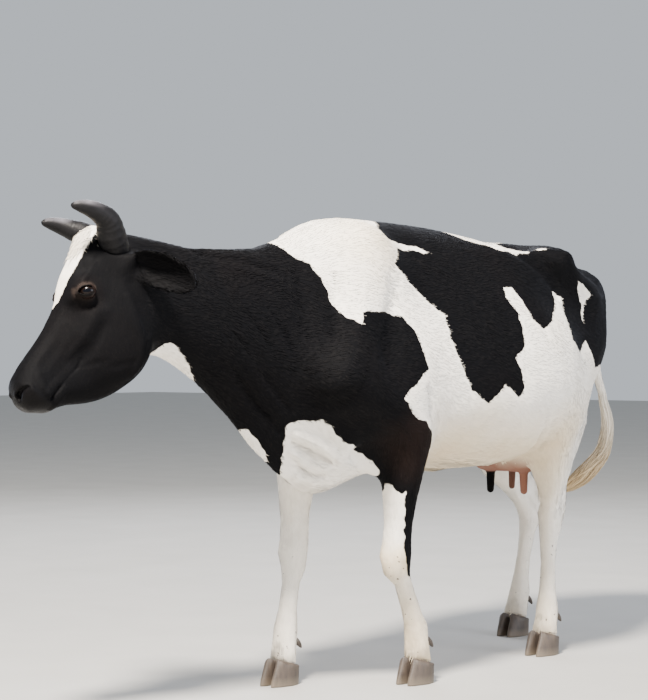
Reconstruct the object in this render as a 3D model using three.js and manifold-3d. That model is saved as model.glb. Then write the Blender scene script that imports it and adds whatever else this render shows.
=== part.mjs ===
// A dairy cow of the black-and-white lowland type, standing with her head turned to her right.
// Millimetres, +Z up. She faces -Y and her left side is +X. Every size is worked out in a working frame
// whose origin lies on the floor midway between the front feet; the last lines move the finished model so
// that its origin is the middle of the floor that it covers.
//
// The flesh is one field: a smooth union of lofts (trunk, neck, head, legs) with rounded bones and muscles.
// Each node of flesh is that field drawn in rings round an axis of its own, then parted from its neighbours
// by thin flat cuts. Horns, eyes, ears, claws, teats and the switch of the tail are made by themselves.
import * as THREE from "three";
import { mergeVertices } from "three/addons/utils/BufferGeometryUtils.js";
import Module from "manifold-3d";

// ---------------------------------------------------------------------------------------------- sizes
const WITHERS = 1400; // height at the withers: the finished model is scaled to it
const DRAWN_WITHERS = 1400; // the withers height that every length below is for
const CUT = 0.6; // width of the cuts that part the nodes
const GAP = 0.4; // clearance round a piece that is set into the flesh
const EAR_ROOM = 0.6; // the same round an ear, whose section is a curved shell

const SIDES = { left: 1, right: -1 };

// Where each foot stands (y), and the joints above it (y, z). x is the distance from the middle plane.
const FORELEG = {
  left: { foot: [150, 128], fetlock: [150, 132, 150], knee: [163, 12, 388], elbow: [182, 30, 740] },
  right: { foot: [150, -150], fetlock: [150, -132, 150], knee: [158, -78, 388], elbow: [182, -25, 740] },
};
const HINDLEG = {
  left: {
    foot: [150, 836], fetlock: [149, 864, 148], hock: [144, 886, 440],
    stifle: [212, 800, 800], hip: [175, 1045, 1080],
  },
  right: {
    foot: [165, 1140], fetlock: [163, 1172, 148], hock: [150, 1222, 432],
    stifle: [205, 880, 790], hip: [175, 1065, 1080],
  },
};
const CORONET = 72; // height of the hair line above the claws
const CLAW = {
  spread: 27, // from the middle of the foot to the middle of each claw
  turn: 7, // how far the toe bends inwards
  pointed: 0.32, // how much narrower the toe is
  // height, forward reach, backward reach, half width: from the flat sole up
  rings: [[0, 74, 50, 23], [16, 72, 53, 26], [50, 54, 52, 26], [88, 34, 44, 25]],
};

// The head's own frame: s runs from the poll to the muzzle, l to her left, n out of the forehead.
const POLL = new THREE.Vector3(-109, -968, 1285);
const HEAD_TURN = 16; // degrees to her right of straight ahead
const HEAD_DROP = 55.5; // degrees that the face slopes below level
const HEAD_ROLL = 8; // degrees, the right side lower
const EYE = { s: 143, l: 88, n: -29, radius: 20 };

// --------------------------------------------------------------------------------------- small helpers
const v3 = (x, y, z) => new THREE.Vector3(x, y, z);
const radians = THREE.MathUtils.degToRad;

function headMatrix() {
  const ahead = v3(-Math.sin(radians(HEAD_TURN)), -Math.cos(radians(HEAD_TURN)), 0);
  const s = ahead.clone().multiplyScalar(Math.cos(radians(HEAD_DROP)));
  s.z = -Math.sin(radians(HEAD_DROP));
  const l = v3(-ahead.y, ahead.x, 0).applyAxisAngle(s, radians(HEAD_ROLL));
  return new THREE.Matrix4().makeBasis(s, l, v3().crossVectors(s, l)).setPosition(POLL);
}
const HEAD = headMatrix();
const inHead = (s, l, n) => v3(s, l, n).applyMatrix4(HEAD);
const HEAD_LEFT = v3(0, 1, 0).transformDirection(HEAD);
const HEAD_AXIS = v3(1, 0, 0).transformDirection(HEAD);
const HEAD_OUT = v3(0, 0, 1).transformDirection(HEAD);

function smoothMin(a, b, k) {
  const h = Math.max(k - Math.abs(a - b), 0) / k;
  return Math.min(a, b) - (h * h * k) / 4;
}
const smoothMax = (a, b, k) => -smoothMin(-a, -b, k);

// ------------------------------------------------------------------------------------- forms of the field
// Each form gives a signed distance, negative inside, and the box that holds it.

// An ellipsoid with semi-axes size. axes, if given, are its three directions.
function ball(at, size, axes = [v3(1, 0, 0), v3(0, 1, 0), v3(0, 0, 1)]) {
  const [a, b, c] = size;
  const reach = Math.max(a, b, c);
  return {
    low: at.clone().addScalar(-reach),
    high: at.clone().addScalar(reach),
    distance(p) {
      const q = p.clone().sub(at);
      const [x, y, z] = axes.map((axis) => q.dot(axis));
      const near = Math.hypot(x / a, y / b, z / c);
      const slope = Math.hypot(x / (a * a), y / (b * b), z / (c * c));
      return slope < 1e-9 ? -Math.min(a, b, c) : (near * (near - 1)) / slope;
    },
  };
}

// A chain of round cones through joints, each { at, r }.
function limb(...joints) {
  const low = v3(1e9, 1e9, 1e9);
  const high = low.clone().negate();
  for (const j of joints) {
    low.min(j.at.clone().addScalar(-j.r));
    high.max(j.at.clone().addScalar(j.r));
  }
  return {
    low,
    high,
    distance(p) {
      let best = 1e9;
      for (let i = 1; i < joints.length; i++) {
        const a = joints[i - 1];
        const b = joints[i];
        const along = b.at.clone().sub(a.at);
        const t = THREE.MathUtils.clamp(p.clone().sub(a.at).dot(along) / along.lengthSq(), 0, 1);
        const r = a.r + (b.r - a.r) * t;
        best = Math.min(best, along.multiplyScalar(t).add(a.at).distanceTo(p) - r);
      }
      return best;
    },
  };
}

const STEPS = 5; // finer stations between two named ones

// A tube of superellipse sections. A station is { at, wide, up, down, square, low }: half width, height
// above and below the centre, exponent, and how far the widest level lies below the centre (1 = fully).
// side is the direction that wide is measured along.
function loft(side, stations) {
  const keys = ["wide", "up", "down", "square", "low"];
  const full = stations.map((s) => ({ square: 2, low: 0, ...s }));
  const curve = new THREE.CatmullRomCurve3(full.map((s) => s.at), false, "centripetal");
  const spans = full.length - 1;
  const fine = [];
  for (let i = 0; i <= spans * STEPS; i++) {
    const u = i / STEPS;
    const k = Math.min(Math.floor(u), spans - 1);
    const t = u - k;
    const station = { at: curve.getPoint(u / spans), tangent: curve.getTangent(u / spans) };
    for (const key of keys) {
      const [p0, p1, p2, p3] = [k - 1, k, k + 1, k + 2].map(
        (j) => full[THREE.MathUtils.clamp(j, 0, spans)][key],
      );
      const m1 = (p2 - p0) / 2;
      const m2 = (p3 - p1) / 2;
      const d = p2 - p1;
      station[key] = p1 + t * (m1 + t * (3 * d - 2 * m1 - m2 + t * (m1 + m2 - 2 * d)));
    }
    station.side = side.clone().addScaledVector(station.tangent, -side.dot(station.tangent)).normalize();
    station.top = v3().crossVectors(station.side, station.tangent).normalize();
    fine.push(station);
  }
  const low = v3(1e9, 1e9, 1e9);
  const high = low.clone().negate();
  for (const s of fine) {
    const reach = Math.max(s.wide, s.up, s.down);
    low.min(s.at.clone().addScalar(-reach));
    high.max(s.at.clone().addScalar(reach));
  }
  return {
    low,
    high,
    distance(p) {
      let near = 1e18;
      let found = 0;
      let share = 0;
      for (let i = 1; i < fine.length; i++) {
        const a = fine[i - 1].at;
        const b = fine[i].at;
        const [dx, dy, dz] = [b.x - a.x, b.y - a.y, b.z - a.z];
        const t = THREE.MathUtils.clamp(
          ((p.x - a.x) * dx + (p.y - a.y) * dy + (p.z - a.z) * dz) / (dx * dx + dy * dy + dz * dz), 0, 1,
        );
        const d = (p.x - a.x - dx * t) ** 2 + (p.y - a.y - dy * t) ** 2 + (p.z - a.z - dz * t) ** 2;
        if (d < near) [near, found, share] = [d, i, t];
      }
      const a = fine[found - 1];
      const b = fine[found];
      const mix = (key) => a[key] + (b[key] - a[key]) * share;
      const q = p.clone().sub(a.at.clone().lerp(b.at, share));
      const across = q.dot(a.side.clone().lerp(b.side, share));
      const rise = q.dot(a.top.clone().lerp(b.top, share));
      const beyond = q.dot(a.tangent.clone().lerp(b.tangent, share));
      const height = Math.max(rise > 0 ? mix("up") : mix("down"), 1);
      const level = THREE.MathUtils.clamp(rise / height, -1, 1);
      const wide = Math.max(mix("wide") * (1 - mix("low") * level * 0.5), 1);
      const power = mix("square");
      const cap = Math.min(wide, height) * 0.5;
      const ring = (Math.abs(across / wide) ** power + Math.abs(rise / height) ** power) ** (1 / power);
      const reach = Math.hypot(ring, beyond / cap);
      const length = Math.hypot(across, rise, beyond);
      return reach < 1e-6 ? -Math.min(wide, height) : length * (1 - 1 / reach);
    },
  };
}

// The smooth union of forms, in order. A form with cut: true is taken away instead.
class Flesh {
  constructor(parts = []) {
    this.parts = parts;
  }
  add(form, blend = 30) {
    this.parts.push({ form, blend, cut: false });
  }
  cut(form, blend = 30) {
    this.parts.push({ form, blend, cut: true });
  }
  distance(p) {
    let d = 1e6;
    for (const { form, blend, cut } of this.parts) {
      const { low, high } = form;
      const away = Math.hypot(
        Math.max(low.x - p.x, p.x - high.x, 0),
        Math.max(low.y - p.y, p.y - high.y, 0),
        Math.max(low.z - p.z, p.z - high.z, 0),
      );
      if (cut ? away > blend - Math.min(d, 0) : away > d + blend) continue;
      const f = form.distance(p);
      d = cut ? smoothMax(d, -f, blend) : smoothMin(d, f, blend);
    }
    return d;
  }
}
const flesh = new Flesh(); // the whole animal
let body; // the same without the legs, for the nodes of the body

// -------------------------------------------------------------------------------------------- the trunk
const TRUNK = [
  // y, top, widest level, bottom, half width, squareness, low
  { y: -395, top: 1000, mid: 840, bottom: 690, wide: 90, square: 2, low: 0.1 }, // breast
  { y: -300, top: 1225, mid: 890, bottom: 640, wide: 165, square: 2, low: 0.2 }, // points of shoulder
  { y: -190, top: 1362, mid: 900, bottom: 598, wide: 198, square: 2, low: 0.2 }, // front of the withers
  { y: -50, top: 1388, mid: 900, bottom: 622, wide: 220, square: 2, low: 0.2 }, // withers
  { y: 120, top: 1394, mid: 920, bottom: 638, wide: 260, square: 2.05, low: 0.15 }, // heart girth
  { y: 330, top: 1388, mid: 940, bottom: 632, wide: 322, square: 2.15, low: 0.2 },
  { y: 560, top: 1368, mid: 950, bottom: 626, wide: 362, square: 2.2, low: 0.2 }, // last rib
  { y: 720, top: 1356, mid: 970, bottom: 660, wide: 352, square: 2.25, low: 0.15 }, // loin and paunch
  { y: 860, top: 1350, mid: 1010, bottom: 735, wide: 285, square: 2.3, low: 0 }, // hooks
  { y: 1000, top: 1342, mid: 1050, bottom: 800, wide: 228, square: 2.3, low: 0 }, // rump
  { y: 1130, top: 1318, mid: 1080, bottom: 850, wide: 180, square: 2.2, low: 0 }, // thurls
  { y: 1240, top: 1270, mid: 1110, bottom: 920, wide: 110, square: 2, low: 0 }, // pins
];

function trunk() {
  flesh.add(
    loft(v3(1, 0, 0), TRUNK.map(({ y, top, mid, bottom, wide, square, low }) => ({
      at: v3(0, y, mid), wide, up: top - mid, down: mid - bottom, square, low,
    }))),
  );
  // Spine: a low ridge from the withers to the tail head.
  flesh.add(limb(
    { at: v3(0, -150, 1340), r: 40 }, { at: v3(0, 0, 1356), r: 38 }, { at: v3(0, 120, 1358), r: 36 },
    { at: v3(0, 560, 1336), r: 32 }, { at: v3(0, 860, 1326), r: 32 }, { at: v3(0, 1080, 1308), r: 34 },
    { at: v3(0, 1225, 1286), r: 36 },
  ), 70);
  // Brisket: the loose fold of skin and fat between the forelegs.
  flesh.add(limb(
    { at: v3(0, -330, 672), r: 34 }, { at: v3(0, -195, 598), r: 40 }, { at: v3(0, -60, 650), r: 34 },
  ), 60);
  for (const side of Object.values(SIDES)) trunkSide(side);
}

function trunkSide(side) {
  const at = (x, y, z) => v3(x * side, y, z);
  // Shoulder blade, its ridge and the point of the shoulder.
  flesh.add(ball(at(120, -95, 1190), [92, 150, 205]), 80);
  flesh.add(limb({ at: at(62, -70, 1340), r: 42 }, { at: at(196, -225, 1000), r: 52 }), 50);
  flesh.add(ball(at(188, -300, 925), [62, 66, 92]), 50);
  // Upper arm and the muscle behind it, down to the elbow.
  flesh.add(limb({ at: at(192, -255, 925), r: 76 }, { at: at(196, 10, 790), r: 72 }), 60);
  flesh.add(ball(at(190, 5, 930), [78, 118, 165]), 70);
  // Hook bone, the edge of the loin before it, and the bone's slope to the thurl and pin.
  flesh.add(ball(at(246, 775, 1296), [44, 62, 40]), 50);
  flesh.add(limb({ at: at(95, 835, 1335), r: 34 }, { at: at(246, 780, 1298), r: 36 }), 60);
  flesh.add(limb({ at: at(180, 470, 1290), r: 40 }, { at: at(225, 700, 1285), r: 34 }), 70);
  flesh.add(limb(
    { at: at(238, 790, 1282), r: 44 }, { at: at(200, 1010, 1190), r: 60 }, { at: at(98, 1215, 1212), r: 34 },
  ), 60);
  flesh.add(ball(at(98, 1236, 1212), [38, 42, 40]), 40);
  // Hollow of the flank, and the groove before the thigh.
  flesh.cut(ball(at(372, 705, 1205), [100, 120, 95]), 90);
  flesh.cut(ball(at(120, 1170, 1420), [70, 110, 60]), 60);
  // Buttock.
  flesh.add(ball(at(108, 1136, 1118), [88, 98, 165]), 70);
}

// --------------------------------------------------------------------------------------------- the neck
const NECK = [
  { at: v3(0, -150, 1030), wide: 165, up: 325, down: 340, square: 2 },
  { at: v3(0, -300, 1020), wide: 148, up: 298, down: 322, square: 2 },
  { at: v3(-4, -450, 1045), wide: 118, up: 230, down: 280, square: 2, low: 0.05 },
  { at: v3(-18, -600, 1095), wide: 96, up: 186, down: 196, square: 2, low: 0.05 },
  { at: v3(-42, -740, 1135), wide: 84, up: 158, down: 122, square: 2.1, low: 0 },
  { at: v3(-72, -850, 1172), wide: 78, up: 126, down: 106, square: 2.2, low: 0 },
  { at: v3(-104, -925, 1195), wide: 70, up: 90, down: 95, square: 2.2, low: 0 },
];

function neck() {
  flesh.add(loft(v3(1, 0, 0), NECK), 60);
  // Crest, and the dewlap along the underside.
  flesh.add(limb(
    { at: v3(0, -230, 1312), r: 34 }, { at: v3(-4, -430, 1245), r: 32 }, { at: v3(-26, -640, 1257), r: 32 },
    { at: v3(-80, -870, 1292), r: 34 },
  ), 60);
  flesh.add(limb(
    { at: v3(-60, -745, 1050), r: 24 }, { at: v3(-32, -625, 924), r: 24 }, { at: v3(-10, -535, 834), r: 26 },
    { at: v3(0, -430, 730), r: 28 }, { at: v3(0, -320, 662), r: 32 },
  ), 45);
}

// --------------------------------------------------------------------------------------------- the head
const SKULL = [
  // s, face line, chewing line, half width, squareness, low (negative: widest near the forehead)
  { s: -30, top: -24, bottom: -112, wide: 62, square: 2.2, low: 0 },
  { s: 30, top: 0, bottom: -185, wide: 84, square: 2.3, low: -0.1 },
  { s: 85, top: 4, bottom: -232, wide: 93, square: 2.3, low: -0.35 },
  { s: 140, top: 4, bottom: -262, wide: 95, square: 2.3, low: -0.45 },
  { s: 190, top: 0, bottom: -284, wide: 88, square: 2.3, low: -0.45 },
  { s: 240, top: 6, bottom: -276, wide: 78, square: 2.3, low: -0.4 },
  { s: 290, top: 9, bottom: -248, wide: 68, square: 2.3, low: -0.3 },
  { s: 335, top: 6, bottom: -206, wide: 60, square: 2.3, low: -0.2 },
  { s: 375, top: 3, bottom: -168, wide: 57, square: 2.4, low: -0.05 },
  { s: 415, top: -2, bottom: -140, wide: 60, square: 2.5, low: 0 },
  { s: 450, top: -15, bottom: -124, wide: 58, square: 2.5, low: 0 },
  { s: 468, top: -40, bottom: -98, wide: 43, square: 2.4, low: 0 },
];

function head() {
  flesh.add(
    loft(HEAD_LEFT, SKULL.map(({ s, top, bottom, wide, square, low }) => {
      const mid = top * 0.5 + bottom * 0.5;
      return { at: inHead(s, 0, mid), wide, up: top - mid, down: mid - bottom, square, low };
    })),
    45,
  );
  const axes = [HEAD_AXIS, HEAD_LEFT, HEAD_OUT];
  flesh.add(ball(inHead(-4, 0, -22), [32, 70, 32], axes), 30); // poll
  flesh.add(ball(inHead(70, 0, -22), [128, 64, 62], axes), 40); // forehead
  flesh.add(ball(inHead(-2, 0, 8), [50, 41, 53], axes), 24); // curly hair on the poll, between the horns
  flesh.add(ball(inHead(436, 0, -66), [33, 64, 50], axes), 22); // muzzle
  flesh.add(ball(inHead(416, 0, -116), [40, 40, 22], axes), 20); // chin
  for (const side of Object.values(SIDES)) {
    const at = (s, l, n) => inHead(s, l * side, n);
    flesh.add(ball(at(140, 76, -24), [46, 24, 26], axes), 22); // brow
    flesh.add(ball(at(205, 52, -185), [86, 36, 84], axes), 40); // cheek
    flesh.add(limb({ at: at(178, 80, -78), r: 17 }, { at: at(285, 60, -88), r: 14 }), 26); // facial crest
    flesh.cut(ball(at(68, 118, -62), [44, 26, 34], axes), 26); // temple
    flesh.cut(ball(at(325, 92, -84), [60, 30, 50], axes), 36); // hollow between cheek and muzzle
    flesh.add(limb({ at: at(8, 70, -82), r: 27 }, { at: at(0, 94, -94), r: 21 }), 22); // ear root
  }
}

// --------------------------------------------------------------------------------------------- the legs
// A station on a leg: the point, then half sizes sideways, forward and backward.
const legStation = ([x, y, z], side, wide, front, back, square = 2.1) => ({
  at: v3(x * side, y, z), wide, up: back, down: front, square,
});
const between = (a, b, t) => a.map((value, i) => value + (b[i] - value) * t);
const shifted = ([x, y, z], dx, dy, dz) => [x + dx, y + dy, z + dz];

// Pastern, the two digits under it and the swelling of the fetlock. toe is the foot's place (x, y).
function pastern(side, fetlock, foot, thick) {
  const [x, y, z] = fetlock;
  flesh.add(ball(v3(x * side, y + 6, z - 2), [34 * thick, 38 * thick, 40]), 20);
  for (const across of [-1, 1]) {
    flesh.add(limb(
      { at: v3((x + across * 11) * side, y, z - 12), r: 24 * thick },
      { at: v3((foot[0] + across * 22) * side, (y + foot[1]) / 2 + 4, 92), r: 25 * thick },
      { at: v3((foot[0] + across * 26) * side, foot[1] + 10, 55), r: 27 * thick },
    ), 14);
  }
}

function foreleg(name) {
  const side = SIDES[name];
  const { foot, fetlock, knee, elbow } = FORELEG[name];
  const st = (p, ...sizes) => legStation(p, side, ...sizes);
  const forearm = (t) => between(elbow, knee, t);
  const cannon = (t) => between(knee, fetlock, t);
  flesh.add(loft(v3(1, 0, 0), [
    st(shifted(elbow, 0, -10, 70), 78, 92, 96),
    st(elbow, 74, 88, 86),
    st(forearm(0.3), 62, 70, 62),
    st(forearm(0.62), 48, 50, 42),
    st(forearm(0.84), 43, 42, 38),
    st(shifted(knee, 0, -4, 12), 47, 45, 42, 2.4),
    st(shifted(knee, 0, -2, -30), 42, 40, 40, 2.3),
    st(cannon(0.32), 29, 27, 32),
    st(cannon(0.62), 27, 25, 33),
    st(cannon(0.86), 31, 29, 37),
    st(fetlock, 34, 33, 38),
  ]), 45);
  flesh.add(ball(v3(elbow[0] * side, elbow[1] + 62, elbow[2] + 22), [40, 44, 52]), 40); // point of elbow
  flesh.add(ball(v3(knee[0] * side, knee[1] + 34, knee[2] + 22), [26, 22, 30]), 18); // back of the knee
  pastern(side, fetlock, foot, 1);
}

// Thigh, from the hip joint to the stifle, with the hamstrings behind and the kneecap in front.
function thigh(name) {
  const { hock, stifle, hip } = HINDLEG[name];
  const joint = ([x, y, z], dx, dy, dz, r) => ({ at: v3((x + dx) * SIDES[name], y + dy, z + dz), r });
  flesh.add(limb(joint(hip, -18, -34, -20, 106), joint(stifle, -12, 24, 40, 104)), 90);
  flesh.add(limb(
    joint(hip, -50, 32, -60, 76), joint(between(hip, hock, 0.42), -34, 34, 0, 66),
    joint(between(stifle, hock, 0.5), 0, 12, 0, 52),
  ), 70);
  flesh.add(ball(joint(stifle, 2, -22, 10).at, [58, 62, 82]), 60);
}

// The tendon above a hock, from the heel bone to the muscles behind the thigh.
const tendon = ({ hock, stifle }) => (
  { heel: shifted(hock, -2, 62, 52), ham: shifted(stifle, -20, 154, -15) }
);

function hindleg(name) {
  const side = SIDES[name];
  const { foot, fetlock, hock, stifle } = HINDLEG[name];
  const st = (p, ...sizes) => legStation(p, side, ...sizes);
  const gaskin = (t) => between(stifle, hock, t);
  const cannon = (t) => between(hock, fetlock, t);
  const at = ([x, y, z]) => v3(x * side, y, z);
  flesh.add(loft(v3(1, 0, 0), [
    st(stifle, 82, 92, 110),
    st(gaskin(0.28), 66, 72, 84),
    st(gaskin(0.55), 49, 50, 56),
    st(gaskin(0.8), 36, 38, 38),
    st(shifted(hock, 0, -2, 34), 36, 40, 34, 2.3),
    st(shifted(hock, 0, 0, -18), 36, 38, 36, 2.3),
    st(shifted(cannon(0.28), 0, 0, 0), 27, 28, 33),
    st(cannon(0.58), 23, 25, 31),
    st(cannon(0.84), 28, 28, 35),
    st(fetlock, 33, 33, 38),
  ]), 50);
  // Heel bone, the tendon that runs up from it, and the thin web of skin before the tendon.
  const { heel, ham } = tendon(HINDLEG[name]);
  flesh.add(limb({ at: at(shifted(hock, -1, 34, -22)), r: 26 }, { at: at(heel), r: 23 }), 22);
  flesh.add(limb(
    { at: at(heel), r: 19 }, { at: at(between(heel, ham, 0.5)), r: 24 }, { at: at(ham), r: 50 },
  ), 45);
  flesh.add(limb(
    { at: at(between(gaskin(0.84), heel, 0.5)), r: 17 },
    { at: at(between(gaskin(0.5), between(ham, heel, 0.5), 0.5)), r: 25 },
  ), 35);
  pastern(side, fetlock, foot, 0.97);
}

// ---------------------------------------------------------------------------------- udder and tail root
const UDDER = { y: 905, z: 735, wide: 116, long: 175, deep: 152 };
const TEATS = { fore: [66, 852, 590], hind: [56, 968, 594] };

function udder() {
  flesh.add(ball(v3(0, UDDER.y, UDDER.z), [UDDER.wide, UDDER.long, UDDER.deep]), 70);
  for (const side of Object.values(SIDES)) {
    flesh.add(ball(v3(54 * side, UDDER.y - 62, UDDER.z - 62), [70, 100, 82]), 30);
    flesh.add(ball(v3(50 * side, UDDER.y + 66, UDDER.z - 52), [66, 96, 88]), 30);
  }
}

const TAIL_PATH = [
  // x, y, z, radius: from the tail head to the last bone, inside the switch
  [0, 1215, 1284, 38], [2, 1280, 1256, 34], [8, 1338, 1185, 29], [16, 1370, 1070, 23],
  [24, 1388, 930, 18], [30, 1428, 840, 15], [32, 1446, 770, 12],
];
const SWITCH_PATH = [
  [29, 1420, 860, 18], [33, 1456, 745, 23], [30, 1430, 650, 30], [18, 1370, 592, 35], [2, 1306, 550, 35],
  [-16, 1248, 522, 26], [-26, 1210, 507, 9],
];
const TAIL_CUT = 1245; // y of the plane where the tail leaves the body
const BONE_ROOM = 2.5; // clearance of the switch round the tail inside it

trunk();
neck();
head();
for (const name of Object.keys(SIDES)) thigh(name);
udder();
flesh.add(limb(...TAIL_PATH.map(([x, y, z, r]) => ({ at: v3(x, y, z), r }))), 30);
body = new Flesh([...flesh.parts]);
for (const name of Object.keys(SIDES)) {
  foreleg(name);
  hindleg(name);
}

// ------------------------------------------------------------------------ drawing the field, ring by ring
const wasm = await Module();
wasm.setup();

// How far the flesh reaches from a point inside it, up to reach.
function depth(field, from, way, reach) {
  const outside = (r) => field.distance(from.clone().addScaledVector(way, r));
  let near = 0;
  let far = 0;
  for (let d = outside(0); d < 0 && far < reach; d = outside(far)) {
    near = far;
    far += Math.max(4, -0.7 * d);
  }
  if (far >= reach) return reach;
  for (let i = 0; i < 12; i++) {
    const middle = (near + far) / 2;
    if (outside(middle) < 0) near = middle;
    else far = middle;
  }
  return Math.max(near, 3);
}

// The surface of a field round an axis, as rings. A key is { at, facing }: a point of the axis, and what the
// ring there faces. side is the direction of the first point of a ring.
function drawn(field, keys, { rings, around, reach, side = v3(1, 0, 0) }) {
  const axis = new THREE.CatmullRomCurve3(keys.map((key) => key.at), false, "centripetal");
  const places = [];
  for (let i = 0; i < rings; i++) {
    const u = i / (rings - 1);
    const k = Math.min(Math.floor(u * (keys.length - 1)), keys.length - 2);
    const facing = keys[k].facing.clone().lerp(keys[k + 1].facing, u * (keys.length - 1) - k).normalize();
    const at = axis.getPoint(u);
    const across = side.clone().addScaledVector(facing, -side.dot(facing)).normalize();
    const top = v3().crossVectors(across, facing);
    for (let j = 0; j < around; j++) {
      const angle = (2 * Math.PI * j) / around;
      const way = across.clone().multiplyScalar(Math.cos(angle)).addScaledVector(top, Math.sin(angle));
      places.push(at.clone().addScaledVector(way, depth(field, at, way, reach)));
    }
  }
  return tube(places, around);
}

// A closed tube of rings, each of around points. Its squares are halved along the shorter diagonal, and a fan
// covers each end. The rings of a shell go out along one face and back along the other: there the squares are
// all halved the same way, so that a piece and its socket match, and strips across the wall cover the ends.
function tube(places, around, shell = false) {
  const rings = places.length / around;
  const faces = [];
  for (let i = 0; i < rings - 1; i++)
    for (let j = 0; j < around; j++) {
      const [a, b] = [i * around + j, i * around + ((j + 1) % around)];
      const [c, d] = [a + around, b + around];
      const first = !shell && places[a].distanceToSquared(places[d]) < places[b].distanceToSquared(places[c]);
      faces.push(...(first ? [a, b, d, a, d, c] : [a, b, c, b, d, c]));
    }
  for (const first of [0, rings * around - around]) {
    const triangle = (a, b, c) => faces.push(...(first ? [a, b, c] : [b, a, c]));
    if (shell) {
      for (let j = 0; j < around / 2 - 1; j++) {
        const [a, b] = [first + j, first + j + 1];
        const [c, d] = [first + around - 1 - j, first + around - 2 - j];
        triangle(a, b, c);
        triangle(b, d, c);
      }
      continue;
    }
    const middle = places.length;
    const ring = places.slice(first, first + around);
    places.push(ring.reduce((sum, p) => sum.add(p), v3()).divideScalar(around));
    for (let j = 0; j < around; j++) triangle(first + j, first + ((j + 1) % around), middle);
  }
  return solid(meshOf(places, faces));
}

// ------------------------------------------------------------------------------- meshes, solids and cuts
function meshOf(places, faces) {
  const geometry = new THREE.BufferGeometry();
  const numbers = places.flatMap((p) => [p.x, p.y, p.z]);
  geometry.setAttribute("position", new THREE.Float32BufferAttribute(numbers, 3));
  geometry.setIndex(faces);
  return geometry;
}

function solid(geometry) {
  const bare = geometry.clone();
  bare.deleteAttribute("normal");
  bare.deleteAttribute("uv");
  const merged = mergeVertices(bare, 1e-3);
  const mesh = (order) => new wasm.Manifold(new wasm.Mesh({
    numProp: 3,
    vertProperties: new Float32Array(merged.attributes.position.array),
    triVerts: new Uint32Array(order),
  }));
  const made = mesh(merged.index.array);
  return made.volume() < 0 ? mesh(merged.index.array.toReversed()) : made; // faces point outwards
}

// The biggest body of a solid: slivers that a cut leaves are dropped.
function largest(made) {
  return made.decompose().sort((a, b) => b.volume() - a.volume())[0];
}

function geometryOf(made) {
  const { vertProperties, triVerts } = made.getMesh();
  const geometry = new THREE.BufferGeometry();
  geometry.setAttribute("position", new THREE.BufferAttribute(new Float32Array(vertProperties), 3));
  geometry.setIndex(new THREE.BufferAttribute(new Uint32Array(triVerts), 1));
  geometry.computeVertexNormals();
  return geometry;
}

// A box from its lowest to its highest corner.
function block(low, high) {
  const box = new THREE.BoxGeometry(high[0] - low[0], high[1] - low[1], high[2] - low[2]);
  return box.translate((low[0] + high[0]) / 2, (low[1] + high[1]) / 2, (low[2] + high[2]) / 2);
}

const FAR = 4000;
// Everything on the side of a plane that normal points to, as far as FAR.
function half(point, normal, clearance = 0) {
  const box = block([-FAR, -FAR, 0], [FAR, FAR, FAR]);
  box.applyQuaternion(new THREE.Quaternion().setFromUnitVectors(v3(0, 0, 1), normal.clone().normalize()));
  const origin = point.clone().addScaledVector(normal.clone().normalize(), clearance);
  return solid(box.translate(origin.x, origin.y, origin.z));
}

// ------------------------------------------------------------------------------------------ swept pieces
// A closed tube along points [x, y, z, radius].
function swept(stations, { around = 12, along = 3, side = v3(1, 0, 0) } = {}) {
  const curve = new THREE.CatmullRomCurve3(stations.map(([x, y, z]) => v3(x, y, z)), false, "centripetal");
  const radius = new THREE.SplineCurve(stations.map(([, , , r], i) => new THREE.Vector2(i, r)));
  const steps = (stations.length - 1) * along;
  const places = [];
  for (let i = 0; i <= steps; i++) {
    const u = i / steps;
    const tangent = curve.getTangent(u);
    const across = side.clone().addScaledVector(tangent, -side.dot(tangent)).normalize();
    const top = v3().crossVectors(across, tangent).normalize();
    const r = radius.getPoint(u).y;
    for (let j = 0; j < around; j++) {
      const angle = (2 * Math.PI * j) / around;
      const way = across.clone().multiplyScalar(Math.cos(angle)).addScaledVector(top, Math.sin(angle));
      places.push(curve.getPoint(u).addScaledVector(way, r));
    }
  }
  return tube(places, around);
}

const HORN = [
  // s, l, n, radius in the head's frame, for the left horn
  [-11, 40, -50, 38], [-28, 67, -11, 40], [-46, 90, 24, 34.5], [-46, 102, 55, 29], [-39, 109, 84, 24],
  [-28, 110, 112, 18], [-19, 109, 128, 11], [-16, 108, 134, 4],
];
const LOW_HORN = { s: 14, n: -7 }; // how much lower the right horn's outer part hangs

function horn(side, room = 0) {
  const path = HORN.map(([s, l, n, r], ring) => {
    const low = side < 0 ? Math.min(ring / 3, 1) : 0;
    return [...inHead(s + LOW_HORN.s * low, l * side, n + LOW_HORN.n * low).toArray(), r + room];
  });
  return swept(path, { around: 9, along: 1, side: HEAD_AXIS });
}

// An ear: crescent sections from the root to the tip, hollow side forward. swing is how far each ear is laid
// back from straight out to the side, and droop how far it hangs, in degrees.
const EAR = {
  root: [-2, 88, -88], // s, l, n of the left one
  opens: [0.62, 0.5, 0.62], // where its hollow faces
  length: 190, width: 50, thick: 7, rim: 0.93, bow: 14, cup: 0.62, droop: -3,
  swing: { left: 54, right: 24 },
};

// Half the width of an ear at u, from 0 at its root to 1 at its tip.
function earWidth(u) {
  const belly = Math.sin(Math.PI * Math.min(u * 0.92 + 0.05, 1) ** 0.9);
  const tip = u > 0.86 ? 1 - ((u - 0.86) / 0.14) ** 2 * 0.55 : 1;
  return EAR.width * (0.42 + 0.62 * belly) * tip;
}

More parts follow.
